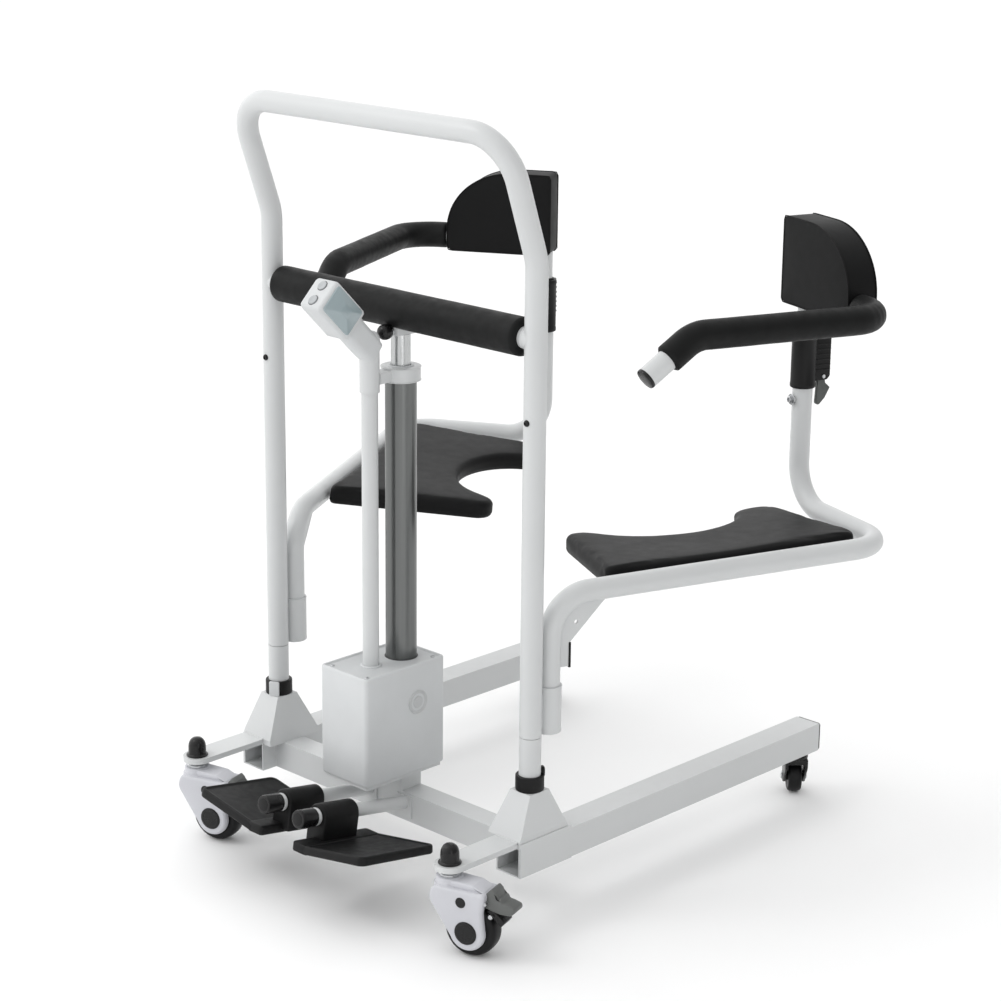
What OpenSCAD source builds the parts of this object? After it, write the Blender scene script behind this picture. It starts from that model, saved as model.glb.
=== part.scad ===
// Sit-to-stand patient transfer lift: wheeled base, electric lifting frame, and two
// swing-open seat halves, each with its own back pad and arm.
// X runs across the lift, +Y towards the seat, Z up from the floor.

/* [Base] */
// Distance between the two uprights, centre to centre
upright_span = 528; // [520:1:536]
// Side of the square leg tube
leg_size = 44; // [40:1:46]
// Height of the underside of the legs
leg_clearance = 72.5; // [70:0.5:76]
// How far the legs reach behind the uprights
leg_rear = 625; // [600:5:650]
// How far the legs reach in front of the uprights
leg_front = 48; // [44:1:54]

/* [Tubes] */
// Outside diameter of the bent frame tubes
tube_od = 31; // [30:0.5:31]
// Wall of the bent frame tubes
tube_wall = 1.5; // [1.2:0.1:1.8]
// Bend radius of the frame tubes
tube_bend = 60; // [55:1:64]

/* [Lifting frame] */
// Height at which the uprights start to lean forward
lean_height = 924; // [900:2:940]
// Angle that the handle leans forward
lean_angle = 19.5; // [15:0.5:22]
// Height of the push bar above the floor
bar_height = 1092; // [1060:2:1110]
// Height of the padded cross bar
crossbar_height = 820; // [816:1:824]
// Diameter of the cross bar padding
crossbar_pad_od = 53; // [46:1:56]

/* [Seat halves] */
// How far the left half is swung out from its closed position, in degrees
left_open = 29; // [20:1:34]
// How far the right half is swung out from its closed position, in degrees
right_open = 19; // [12:1:34]
// Height of the seat rails
rail_height = 457.5; // [450:0.5:465]
// Length from the hinge to the rear rail
rail_length = 559; // [545:1:570]
// Length from the side rail to the seat post
rear_rail = 243.6; // [236:0.2:244]
// Thickness of the seat pads
seat_pad_thick = 24; // [18:1:28]
// Width of the back pads
back_pad_w = 180; // [150:2:180]
// Height of the back pads
back_pad_h = 136; // [120:2:150]
// Depth of the back pads
back_pad_d = 54; // [52:1:58]
// Height of the arm rails
arm_height = 794; // [790:1:800]
// Diameter of the arm padding
arm_pad_od = 42; // [38:1:44]

/* [Drive] */
// Width of the drive housing
box_w = 97.6; // [90:0.4:100]
// Depth of the drive housing
box_d = 154.7; // [150:0.1:160]
// Height of the drive housing
box_h = 165; // [150:1:170]
// Outside diameter of the lifting column
column_od = 45; // [42:1:46]

/* [Wheels] */
// Radius of the front wheels
front_wheel_r = 38.5; // [36:0.5:39]
// Distance that the front wheels trail behind their stems
front_trail = 37; // [34:1:38]
// Radius of the rear wheels
rear_wheel_r = 25; // [22:0.5:26]
// Direction in which the front wheels trail, in degrees from +X
front_yaw = 17; // [0:1:30]

/* [Hidden] */
$fn = 64;

white = "#f1f2f2";
black = "#222325";
steel = "#a7aaad";
grey = "#6d7073";

// Footprint centre, measured from the mid-plane and from the uprights
mid_x = -42;
mid_y = 219.5;

run_gap = 0.05;
tube_id = tube_od - 2 * tube_wall;
upright_x = upright_span / 2;
leg_x = upright_x + 6;
leg_top = leg_clearance + leg_size;
leg_wall = 2;

// Fixed posts that guide the lifting frame
guide_top = 700;
stub_top = 261.5;
collar_low = 184;
collar_h = 22;

// Cross beam under the drive
beam_front = -21.5;
beam_d = 38;

// Seat hinges
hinge_x = upright_x + 1.2;
hinge_y = 34.5;
socket_low = 262.5;
socket_h = 65.5;
socket_od = 36;
post_top = 722;
post_bend = 65;

// Back and arm unit
mast_od = 25;
sleeve_od = 39;
sleeve_low = 640;
sleeve_top = 727;
arm_run_y = rail_length - 16;
arm_drift = 2.5;
arm_rise = 1.2;
arm_dip = 35.5;
latch_pin_y = rail_length + 31;
latch_pin_z = 655;
latch_pin_r = 3;

// Seat pad, measured inwards from the side rail and back from the hinge
pad_out = 18.5;
pad_in = 266;
pad_rear = 521;
pad_tilt = 5.4;
pad_drop = 19;

// Drive
column_y = 6;
control_y = -53.5;
control_od = 23.4;
box_low = 148;
box_front = -107.6;
box_wall = 3;
rod_od = 28;
spindle_r = 6;
ring_low = 719;
ring_h = 20;

// Control head, built along the neck and tilted forward
head_tilt = 45;
neck_low = 770;
neck_len = 62;
head_l = 70;
head_w = 44;
head_t = 50;
button_r = 7;

// Footrest
foot_x = 36.4;
foot_y = -197.6;
foot_z = 130.8;
foot_tilt = 9.5;
foot_tube_od = 20;
plate_rise = 9;
plate_front = -32;
plate_len = 142;

// Casters
caster_x = 267.8;
caster_y = -158.4;
plate_t = 8;
rear_x = 270;
rear_y = 598;
rear_trail = 18;
rear_yaw = 135;

// ---------- shared shapes ----------

// Moves the design from its mid-plane to the centre of its footprint.
module at_base() {
    translate([-mid_x, -mid_y, 0]) children();
}

// Draws the right-hand shape and its mirror image.
module both_sides() {
    children();
    mirror([1, 0, 0]) children();
}

// Draws a right-hand shape on the right (side 1) or the left (side -1).
module on_side(side) {
    if (side > 0) children();
    else mirror([1, 0, 0]) children();
}

module ring(od, id, h) {
    difference() {
        cylinder(h = h, d = od);
        translate([0, 0, -1]) cylinder(h = h + 2, d = id);
    }
}

// A bend that starts upwards at the origin and turns towards +X.
module elbow(bend_r, angle, od, id) {
    translate([bend_r, 0, 0])
        rotate([90, 0, 180])
            rotate_extrude(angle = angle)
                translate([bend_r, 0])
                    difference() {
                        circle(d = od);
                        circle(d = id);
                    }
}

// A bent tube. Each step is [straight length, bend radius, bend angle, roll before the bend].
// The straights lap over the ends of the bends, which are thinned a hair so that they fuse cleanly.
module tube_run(steps, od, id, i = 0) {
    length = steps[i][0];
    bend_r = steps[i][1];
    angle = steps[i][2];
    lap = 0.4;
    thin = 0.02;
    before = i == 0 ? 0 : lap;
    after = i + 1 < len(steps) ? lap : 0;
    translate([0, 0, -before]) ring(od, id, length + before + after);
    if (i + 1 < len(steps))
        translate([0, 0, length])
            rotate([0, 0, steps[i][3]]) {
                elbow(bend_r, angle, od - thin, id + thin);
                translate([bend_r * (1 - cos(angle)), 0, bend_r * sin(angle)])
                    rotate([0, angle, 0])
                        tube_run(steps, od, id, i + 1);
            }
}

// Points along an elliptical arc.
function arc(cx, cy, rx, ry, from, to, n = 10) =
    [for (k = [0:n]) let (a = from + (to - from) * k / n) [cx + rx * cos(a), cy + ry * sin(a)]];

// A rectangle with round corners, centred on the origin.
module round_rect(w, d, r) {
    square([w - 2 * r, d], center = true);
    square([w, d - 2 * r], center = true);
    for (x = [-1, 1], y = [-1, 1])
        translate([x * (w / 2 - r), y * (d / 2 - r)]) circle(r = r);
}

// A flat bar with one round end, from the origin to the centre of that end.
module tongue(length, w, h) {
    translate([0, -w / 2, 0]) cube([length, w, h]);
    translate([length, 0, 0]) cylinder(h = h, d = w);
}

// ---------- base ----------

module leg() {
    translate([leg_x - leg_size / 2, -leg_front, leg_clearance])
        difference() {
            cube([leg_size, leg_front + leg_rear, leg_size]);
            translate([leg_wall, -1, leg_wall])
                cube([leg_size - 2 * leg_wall, leg_front + leg_rear + 2, leg_size - 2 * leg_wall]);
            translate([leg_size / 2, leg_front + rear_y, -1]) cylinder(h = 2 + leg_wall, r = 5.05);
        }
}

module side_legs() {
    color(white) at_base() both_sides() leg();
}

module cross_beam() {
    beam_len = 2 * (leg_x - leg_size / 2);
    hole_x = -150;
    color(white) at_base() {
        difference() {
            translate([-beam_len / 2, beam_front, leg_clearance]) cube([beam_len, beam_d, leg_size]);
            translate([-beam_len / 2 - 1, beam_front + leg_wall, leg_clearance + leg_wall])
                cube([beam_len + 2, beam_d - 2 * leg_wall, leg_size - 2 * leg_wall]);
            translate([hole_x, beam_front + beam_d / 2, leg_top - 5]) cylinder(h = 10, r = 4);
        }
        translate([-30, beam_front, leg_top]) cube([60, beam_d, box_low - 5 - leg_top]);
        translate([-box_w / 2 + 5, box_front + 5, box_low - 5]) cube([box_w - 10, box_d - 10, 5]);
    }
}

// Welded pyramid that holds the foot of one guide post.
module gusset() {
    low = leg_top;
    high = collar_low;
    difference() {
        intersection() {
            translate([0, 60, 0]) rotate([90, 0, 0]) linear_extrude(120)
                polygon([[229, low], [leg_x + leg_size / 2, low], [leg_x + leg_size / 2, low + 14],
                    [upright_x + 19, high], [upright_x - 19, high]]);
            translate([200, 0, 0]) rotate([90, 0, 90]) linear_extrude(120)
                polygon([[-leg_front, low], [52, low], [19, high], [-19, high], [-leg_front, low + 8]]);
        }
        translate([upright_x, 0, low - 1]) cylinder(h = 100, d = tube_od + 2 * run_gap);
    }
    translate([leg_x + leg_size / 2, -leg_front, leg_clearance]) cube([2, leg_front + 56, leg_size + 6]);
}

module gusset_sockets() {
    color(white) at_base() both_sides() gusset();
}

module post_collars() {
    color(black) at_base() both_sides()
        translate([upright_x, 0, collar_low]) ring(40, tube_od + 2 * run_gap, collar_h);
}

module guide_posts() {
    color(white) at_base() both_sides()
        translate([upright_x, 0, 0]) {
            translate([0, 0, leg_top]) ring(tube_od, tube_id - 4, stub_top - leg_top);
            translate([0, 0, stub_top]) ring(tube_id - 2 * run_gap, tube_id - 4, guide_top - stub_top);
        }
}

module leg_end_caps() {
    plug = leg_size - 2 * leg_wall - 0.4;
    color(grey) at_base() both_sides()
        translate([leg_x, leg_rear, leg_clearance + leg_size / 2]) rotate([-90, 0, 0]) {
            linear_extrude(4) round_rect(leg_size, leg_size, 3);
            translate([0, 0, -10]) linear_extrude(10) square(plug, center = true);
        }
}

module caster_plate() {
    reach = -leg_front - caster_y;
    difference() {
        translate([caster_x, -leg_front, leg_top]) rotate([0, 0, -90]) tongue(reach, 42, plate_t);
        translate([caster_x, caster_y, leg_top - 1]) cylinder(h = plate_t + 2, r = 6.05);
    }
}

module caster_plates() {
    color(white) at_base() both_sides() caster_plate();
}

module stem_caps() {
    color(black) at_base() both_sides()
        translate([caster_x, caster_y, leg_top + plate_t]) {
            cylinder(h = 3, r = 17);
            translate([0, 0, 3]) cylinder(h = 12, r = 13);
            translate([0, 0, 15]) rotate_extrude() intersection() {
                circle(r = 13);
                square(13);
            }
        }
}

// ---------- drive ----------

module at_box() {
    translate([0, box_front + box_d / 2, box_low]) children();
}

module drive_housing() {
    color(white) at_base() difference() {
        at_box() linear_extrude(box_h) round_rect(box_w, box_d, 10);
        at_box() translate([0, 0, -1])
            linear_extrude(box_h - box_wall + 1) round_rect(box_w - 2 * box_wall, box_d - 2 * box_wall, 7);
        translate([0, column_y, box_low]) cylinder(h = box_h + 5, d = column_od + 1);
        translate([0, control_y, box_low]) cylinder(h = box_h + 5, d = control_od + 1);
        translate([box_w / 2 - 10, -7.4, 255]) rotate([0, 90, 0]) cylinder(h = 20, r = 10);
    }
}

module battery_pack() {
    color(black) at_base()
        translate([-36, box_front + 8, box_low + 0.5]) cube([72, 24, 110]);
}

// Worm gearbox under the column, with its motor lying beside the battery.
module gear_motor() {
    color(steel) at_base() {
        translate([-32, column_y - 26, box_low + 0.5]) cube([64, 52, 34]);
        translate([0, control_y - 4, box_low + 22]) rotate([-90, 0, 0]) cylinder(h = 36, r = 20);
    }
}

module lift_spindle() {
    color(steel) at_base()
        translate([0, column_y, box_low + 34.5]) cylinder(h = 520, r = spindle_r);
}

module column_tube() {
    color(steel) at_base()
        translate([0, column_y, box_low + 34.5]) difference() {
            ring(column_od, column_od - 6, ring_low - box_low - 34.5);
            for (a = [-60, 120])
                rotate([0, 0, a]) translate([column_od / 2 - 1.2, -2.5, 40]) cube([4, 5, 600]);
        }
}

module ring_clip() {
    reach = column_y - control_y;
    color(white) at_base()
        translate([0, column_y, ring_low]) difference() {
            union() {
                cylinder(h = ring_h, d = 56);
                translate([-9, -reach + 12, 2]) cube([18, reach - 20, ring_h - 4]);
                translate([0, -reach, -8]) cylinder(h = neck_low - ring_low + 8, d = 28);
            }
                translate([0, 0, -1]) cylinder(h = ring_h + 2, d = rod_od + 2 * run_gap);
            translate([0, -reach, -10]) cylinder(h = neck_low - ring_low + 20, d = control_od + 2 * run_gap);
        }
}

module control_post() {
    color(white) at_base()
        translate([0, control_y, box_low + 55]) ring(control_od, control_od - 3, neck_low - box_low - 55);
}

// Frame of the neck and head: origin at the top of the control post, Z along the neck.
module at_neck() {
    translate([0, control_y, neck_low]) rotate([head_tilt, 0, 0]) children();
}

module control_neck() {
    color(white) at_base() difference() {
        union() {
            translate([0, control_y, neck_low]) cylinder(h = 20, d = 28);
            at_neck() translate([0, 0, 4]) linear_extrude(neck_len - 4) round_rect(32, 36, 8);
        }
        translate([-50, control_y - 50, neck_low - 50]) cube([100, 100, 50]);
    }
}

module control_head() {
    color(white) at_base() at_neck() translate([0, 0, neck_len]) difference() {
        linear_extrude(head_l) round_rect(head_w, head_t, 5);
        for (y = [-12, 12])
            translate([0, y, head_l - 9]) cylinder(h = 10, r = button_r + 0.3);
    }
}

module head_panels() {
    color(grey) at_base() both_sides()
        at_neck() translate([head_w / 2, 0, neck_len + head_l / 2])
            rotate([0, 90, 0]) linear_extrude(3) round_rect(head_l - 10, head_t - 10, 4);
}

module head_button(y) {
    at_neck() translate([0, y, neck_len + head_l - 5.5]) cylinder(h = 7.5, r = button_r);
}

module raise_button() {
    color(grey) at_base() head_button(12);
}

module lower_button() {
    color(grey) at_base() head_button(-12);
}

// ---------- footrest ----------

// Frame of one footrest hinge: origin on the pin, Y along it towards the beam.
module at_foot() {
    translate([foot_x, foot_y, foot_z]) rotate([-foot_tilt, 0, 0]) children();
}

module footrest_tubes() {
    reach = (beam_front - foot_y) / cos(foot_tilt);
    color(white) at_base() both_sides() {
        difference() {
            at_foot() translate([0, -26, 0]) rotate([-90, 0, 0]) cylinder(h = reach + 48, d = foot_tube_od);
            translate([0, beam_front, 0]) cube([100, 100, 200]);
        }
        at_foot() translate([0, 5, 0]) rotate([90, 0, 0]) ring(25, foot_tube_od, 5);
        translate([foot_x - 15, beam_front - 3, leg_clearance + 6]) cube([30, 3, 34]);
    }
}

module pivot_caps() {
    color(black) at_base() both_sides()
        at_foot() translate([0, -30, 0]) rotate([-90, 0, 0]) difference() {
            cylinder(h = 29, d = 27);
            translate([0, 0, 4]) cylinder(h = 40, d = foot_tube_od + 2 * run_gap);
        }
}

// Plate, upstand and hinge barrel in one casting.
module footplate() {
    barrel_len = 66;
    barrel_r = 18;
    difference() {
        union() {
            translate([0, 6, 0]) rotate([-90, 0, 0]) cylinder(h = barrel_len, r = barrel_r);
            translate([-barrel_r, 6, -40]) cube([2 * barrel_r, barrel_len, 40]);
            translate([-4, plate_front, -45]) cube([28, plate_len, 14]);
            translate([18, plate_front, -45]) rotate([0, -plate_rise, 0]) linear_extrude(13)
                polygon(concat([[0, 0]], arc(112, 10, 10, 10, -90, 0, 6),
                    arc(112, plate_len - 10, 10, 10, 0, 90, 6), [[0, plate_len]]));
        }
        translate([0, 0, 0]) rotate([-90, 0, 0]) cylinder(h = 100, d = foot_tube_od + 2 * run_gap);
    }
}

module footplate_left() {
    color(black) at_base() on_side(-1) at_foot() footplate();
}

module footplate_right() {
    color(black) at_base() on_side(1) at_foot() footplate();
}

// ---------- lifting frame ----------

module handle_frame() {
    turn_r = 80;
    cut = turn_r * tan(lean_angle / 2);
    lean_len = (bar_height - lean_height) / cos(lean_angle);
    corner_r = 65;
    lower_len = lean_height - cut - socket_low;
    upper_len = lean_len - cut - corner_r;
    color(white) at_base()
        translate([upright_x, 0, socket_low])
            tube_run([[lower_len, turn_r, lean_angle, -90], [upper_len, corner_r, 90, -90],
                [2 * (upright_x - corner_r), corner_r, 90, 0], [upper_len, turn_r, lean_angle, 90],
                [lower_len, 0, 0, 0]], tube_od, tube_id);
}

module crossbar_tube() {
    color(white) at_base() difference() {
        translate([-upright_x, 0, crossbar_height]) rotate([0, 90, 0])
            ring(tube_od - 1, tube_id - 1, 2 * upright_x);
        both_sides() translate([upright_x, 0, crossbar_height - 50]) cylinder(h = 100, d = tube_od);
    }
}

module crossbar_pad() {
    pad_len = 2 * (upright_x - 20);
    color(black) at_base() difference() {
        translate([-pad_len / 2, 0, crossbar_height]) rotate([0, 90, 0])
            ring(crossbar_pad_od, tube_od - 0.9, pad_len);
        both_sides() translate([upright_x, 0, crossbar_height - 50]) cylinder(h = 100, r = 23);
        translate([-14, -40, crossbar_height - 50]) cube([28, 80, 41]);
    }
}

module lift_rod() {
    color(steel) at_base()
        translate([0, column_y, 260]) {
            ring(rod_od, 20, 525);
            ring(rod_od, 2 * spindle_r + 2 * run_gap, 24);
        }
}

// Saddle under the cross bar that takes the top of the lifting rod.
module rod_bracket() {
    color(white) at_base() difference() {
        translate([-13, column_y - 18, 785]) cube([26, 34, 25]);
        translate([-20, 0, crossbar_height]) rotate([0, 90, 0]) cylinder(h = 40, d = tube_od - 1);
        translate([0, column_y - 40, 791]) rotate([-90, 0, 0]) cylinder(h = 60, r = 4.05);
    }
}

module pull_knob() {
    color(black) at_base()
        translate([0, column_y, 791]) rotate([90, 0, 0]) {
            translate([0, 0, -14]) cylinder(h = 40, r = 4);
            translate([0, 0, 30]) sphere(r = 11);
        }
}

module seat_sockets() {
    color(white) at_base() both_sides() difference() {
        union() {
            translate([hinge_x, hinge_y, socket_low]) cylinder(h = socket_h, d = socket_od);
            translate([hinge_x - 5, 8, socket_low + 8]) cube([10, hinge_y - 20, socket_h - 16]);
        }
        translate([hinge_x, hinge_y, socket_low + 4]) cylinder(h = socket_h, d = tube_od + 2 * run_gap);
        translate([upright_x, 0, socket_low - 1]) cylinder(h = socket_h + 2, d = tube_od);
    }
}

module frame_screws() {
    color(grey) at_base() both_sides() difference() {
        translate([upright_x, -tube_od / 2 + 1, 709]) rotate([90, 0, 0]) cylinder(h = 2.5, r = 4);
        translate([upright_x, 0, 700]) cylinder(h = 20, d = tube_od + 0.1);
    }
}

// ---------- seat halves ----------

// Frame of one seat half: origin under the hinge, closed position along +Y,
// inwards towards -X, swung out by its opening angle.
module at_seat(side) {
    angle = side > 0 ? -right_open : left_open;
    at_base() translate([side * hinge_x, hinge_y, 0])
        rotate([0, 0, angle])
            on_side(side) children();
}

module seat_tube() {
    foot = socket_low + 4;
    translate([0, 0, foot])
        tube_run([[rail_height - tube_bend - foot, tube_bend, 90, 90],
            [rail_length - 2 * tube_bend, tube_bend, 90, 90],
            [rear_rail - tube_bend - post_bend, post_bend, 90, 90],
            [post_top - rail_height - post_bend, 0, 0, 0]], tube_od, tube_id);
    // Gusset in the corner over the hinge, clear of the bend itself, with its stop tab
    bend_z = rail_height - tube_bend;
    cope_r = tube_bend - tube_od / 2 - 1;
    weld_y = tube_od / 2 - 0.7;
    weld_z = rail_height - weld_y;
    difference() {
        translate([-2, 0, 0]) rotate([90, 0, 90]) linear_extrude(4)
            polygon(concat([[weld_y, 352], [30, 352], [30, 386], [84, weld_z - 1.3],
                [84, weld_z], [62.5, weld_z], [62.5, bend_z + cope_r]],
                arc(tube_bend, bend_z, cope_r, cope_r, 90, 180, 8),
                [[tube_bend - cope_r, bend_z - 3], [weld_y, bend_z - 3]]));
        translate([-5, 40, 415]) rotate([0, 90, 0]) cylinder(h = 10, r = 3);
    }
    // Lugs under the seat board
    for (y = [150, 300, 450])
        translate([-46, y, rail_height - 16.5]) cube([43, 22, 4]);
    // Height bolt in the post
    translate([-rear_rail, rail_length - 14.2, 622]) rotate([90, 0, 0]) cylinder(h = 6, r = 5);
}

module seat_tube_left() {
    color(white) at_seat(-1) seat_tube();
}

module seat_tube_right() {
    color(white) at_seat(1) seat_tube();
}

// Horseshoe outline of a seat half: x inwards from the rail, y back from the hinge.
function pad_outline(inset) = let (tip = 30 - inset, lobe = pad_in - 30) concat(
    [[pad_out + inset, 95 + inset]],
    arc(lobe, 180, tip, tip, -76, 60),
    arc(272, 325, 98 + inset, 122 + inset, 249, 111, 20),
    arc(lobe, 470, tip, tip, -50, 0),
    arc(lobe, pad_rear - 30, tip, tip, 0, 90),
    arc(pad_out + 26, pad_rear - 26, 26 - inset, 26 - inset, 90, 180, 4));

// Frame of the tilted pad: x inwards, z up from the top of its outer edge.
module at_pad() {
    mirror([1, 0, 0])
        translate([pad_out, 0, rail_height + pad_drop])
            rotate([0, pad_tilt, 0])
                translate([-pad_out, 0, 0]) children();
}

module seat_board() {
    at_pad() translate([0, 0, -seat_pad_thick - 4.2]) linear_extrude(4) polygon(pad_outline(14));
}

module seat_board_left() {
    color(steel) at_seat(-1) seat_board();
}

module seat_board_right() {
    color(steel) at_seat(1) seat_board();
}

module seat_pad() {
    at_pad() translate([0, 0, -seat_pad_thick]) linear_extrude(seat_pad_thick) polygon(pad_outline(0));
}

module seat_pad_left() {
    color(black) at_seat(-1) seat_pad();
}

module seat_pad_right() {
    color(black) at_seat(1) seat_pad();
}

// Frame of the seat post, with +Z up it and +Y to the rear.
module at_post() {
    translate([-rear_rail, rail_length, 0]) children();
}

module latch_sleeve() {
    ear = 5;
    at_post() difference() {
        union() {
            translate([0, 0, sleeve_low]) cylinder(h = sleeve_top - sleeve_low, d = sleeve_od);
            translate([-9, 12, sleeve_low + 8]) cube([18, 30, sleeve_top - sleeve_low - 10]);
            for (z = [664 : 8 : 712])
                translate([-10, 16, z]) cube([20, 27, 3]);
        }
        translate([0, 0, sleeve_low - 1]) cylinder(h = post_top - sleeve_low + 1, d = tube_od + 2 * run_gap);
        translate([0, 0, post_top - 1]) cylinder(h = 20, d = mast_od + 2 * run_gap);
        translate([-9 + ear, 21, sleeve_low]) cube([18 - 2 * ear, 40, 30]);
        translate([-20, latch_pin_y - rail_length, latch_pin_z]) rotate([0, 90, 0])
            cylinder(h = 40, r = latch_pin_r + run_gap);
    }
}

module latch_sleeve_left() {
    color(black) at_seat(-1) latch_sleeve();
}

module latch_sleeve_right() {
    color(black) at_seat(1) latch_sleeve();
}

module latch_lever() {
    at_post() translate([0, latch_pin_y - rail_length, latch_pin_z]) {
        translate([-9, 0, 0]) rotate([0, 90, 0]) cylinder(h = 18, r = latch_pin_r);
        translate([-3.5, 0, 0]) rotate([90, 0, 90]) linear_extrude(7)
            polygon([[-6, 6], [6, 6], [8, -12], [17, -20], [8, -36], [-8, -52], [-6, -20]]);
    }
}

module latch_lever_left() {
    color(steel) at_seat(-1) latch_lever();
}

module latch_lever_right() {
    color(steel) at_seat(1) latch_lever();
}

arm_turn = 90 - arm_drift;
arm_forward = 329;
arm_nose = 90;
arm_start = 11;
arm_side = 12;

// Length that each arm bend takes off the straights beside it
arm_turn_cut = tube_bend * tan(arm_turn / 2);
arm_dip_cut = tube_bend * tan(arm_dip / 2);

// Frame of the arm tube's inner end, heading outwards.
module at_arm() {
    translate([-rear_rail - arm_start, arm_run_y, arm_height])
        rotate([-arm_rise, 0, 0]) rotate([0, 90, 0]) children();
}

function arm_steps(lead, nose) =
    [[rear_rail + arm_start - arm_side - arm_turn_cut - lead, tube_bend, arm_turn, -90],
        [arm_forward - arm_turn_cut - arm_dip_cut, tube_bend, arm_dip, 90],
        [nose - arm_dip_cut, 0, 0, 0]];

module arm_tube() {
    at_arm() tube_run(arm_steps(0, arm_nose), tube_od, tube_id);
    at_post() translate([0, 0, 600]) ring(mast_od, mast_od - 5, 262);
}

module arm_tube_left() {
    color(white) at_seat(-1) arm_tube();
}

module arm_tube_right() {
    color(white) at_seat(1) arm_tube();
}

// Distance along the arm tube at which its padding starts, just outside the back pad
arm_lead = rear_rail + arm_start - (rear_rail + 18.5 - back_pad_w) + 0.4;

module arm_pad() {
    at_arm() translate([0, 0, arm_lead])
        tube_run(arm_steps(arm_lead, 52), arm_pad_od, tube_od + 2 * run_gap);
}

module arm_pad_left() {
    color(black) at_seat(-1) arm_pad();
}

module arm_pad_right() {
    color(black) at_seat(1) arm_pad();
}

// Follows the arm tube to its nose end.
module at_arm_nose() {
    steps = arm_steps(0, arm_nose);
    at_arm() translate([0, 0, steps[0][0]]) rotate([0, 0, -90])
        translate([tube_bend * (1 - cos(arm_turn)), 0, tube_bend * sin(arm_turn)]) rotate([0, arm_turn, 0])
            translate([0, 0, steps[1][0]]) rotate([0, 0, 90])
                translate([tube_bend * (1 - cos(arm_dip)), 0, tube_bend * sin(arm_dip)])
                    rotate([0, arm_dip, 0]) translate([0, 0, steps[2][0]]) children();
}

module arm_cap() {
    at_arm_nose() {
        cylinder(h = 5, d = tube_od);
        translate([0, 0, -12]) cylinder(h = 12, d = tube_id - 0.4);
    }
}

module arm_cap_left() {
    color(black) at_seat(-1) arm_cap();
}

module arm_cap_right() {
    color(black) at_seat(1) arm_cap();
}

module back_pad() {
    inner = rear_rail + 18.5;
    low = arm_height - 24;
    difference() {
        translate([-inner, rail_length + 17, low]) rotate([90, 0, 0]) linear_extrude(back_pad_d)
            polygon(concat([[0, 0], [back_pad_w, 0]],
                arc(back_pad_w - 110, back_pad_h - 98, 110, 98, 0, 90, 16), [[0, back_pad_h]]));
        at_post() translate([0, 0, 600]) cylinder(h = 262.2, d = mast_od + 2 * run_gap);
        at_arm() translate([0, 0, -0.2]) cylinder(h = 300, d = tube_od + 2 * run_gap);
    }
}

module back_pad_left() {
    color(black) at_seat(-1) back_pad();
}

module back_pad_right() {
    color(black) at_seat(1) back_pad();
}

// ---------- casters ----------

// Frame of a front caster: origin on the floor under its stem, +X along the trail.
module at_front_caster(side) {
    at_base() translate([side * caster_x, caster_y, 0]) rotate([0, 0, front_yaw]) children();
}

caster_top = leg_top - 3;
cheek_in = 15.5;
cheek_out = 24;

module front_cheek() {
    cover_r = 26;
    rotate([90, 0, 0]) linear_extrude(cheek_out - cheek_in)
        polygon(concat(arc(front_trail, front_wheel_r, cover_r, cover_r, -150, 20, 14),
            [[front_trail + 24, 75], [front_trail + 26, 98], [14, 100], [12, caster_top - 8],
                [-14, caster_top - 8], [-20, 96], [-22, 78]]));
}

module caster_fork() {
    difference() {
        union() {
            translate([0, -cheek_in, 0]) front_cheek();
            translate([0, cheek_out, 0]) front_cheek();
            translate([-14, -cheek_in, front_wheel_r * 2 + 8]) cube([26, 2 * cheek_in, 20]);
            translate([0, 0, 86]) cylinder(h = caster_top - 86, r = 17);
            translate([0, 0, caster_top]) cylinder(h = 2.5 + plate_t, r = 6);
        }
        translate([front_trail, 40, front_wheel_r]) rotate([90, 0, 0]) cylinder(h = 80, r = 5.05);
        translate([front_trail + 18, 40, 84]) rotate([90, 0, 0]) cylinder(h = 80, r = 3.05);
    }
}

module caster_fork_left() {
    color(white) at_front_caster(-1) caster_fork();
}

module caster_fork_right() {
    color(white) at_front_caster(1) caster_fork();
}

module front_wheel() {
    translate([front_trail, 0, front_wheel_r]) rotate([90, 0, 0]) {
        translate([0, 0, -14]) rotate_extrude()
            polygon([[0, 0], [front_wheel_r - 5, 0], [front_wheel_r - 1, 3], [front_wheel_r, 8],
                [front_wheel_r, 20], [front_wheel_r - 1, 25], [front_wheel_r - 5, 28], [0, 28]]);
        translate([0, 0, -26]) cylinder(h = 52, r = 5);
        for (z = [-26.5, 24.5])
            translate([0, 0, z]) cylinder(h = 2, r = 16);
    }
}

module front_wheel_left() {
    color(black) at_front_caster(-1) front_wheel();
}

module front_wheel_right() {
    color(black) at_front_caster(1) front_wheel();
}

module brake_pedal() {
    pin_x = front_trail + 18;
    translate([pin_x, 0, 84]) {
        rotate([90, 0, 0]) translate([0, 0, -26]) cylinder(h = 52, r = 3);
        translate([0, 13, 0]) rotate([90, 0, 0]) linear_extrude(26)
            polygon([[-6, -3], [10, -8], [30, -12], [48, -8], [48, 0], [34, 3], [24, 6], [20, 20],
                [14, 22], [8, 8], [-6, 4]]);
    }
}

module brake_pedal_left() {
    color(grey) at_front_caster(-1) brake_pedal();
}

module brake_pedal_right() {
    color(grey) at_front_caster(1) brake_pedal();
}

module at_rear_caster(side) {
    at_base() translate([side * rear_x, rear_y, 0]) rotate([0, 0, rear_yaw]) children();
}

rear_half = 12;

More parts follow.
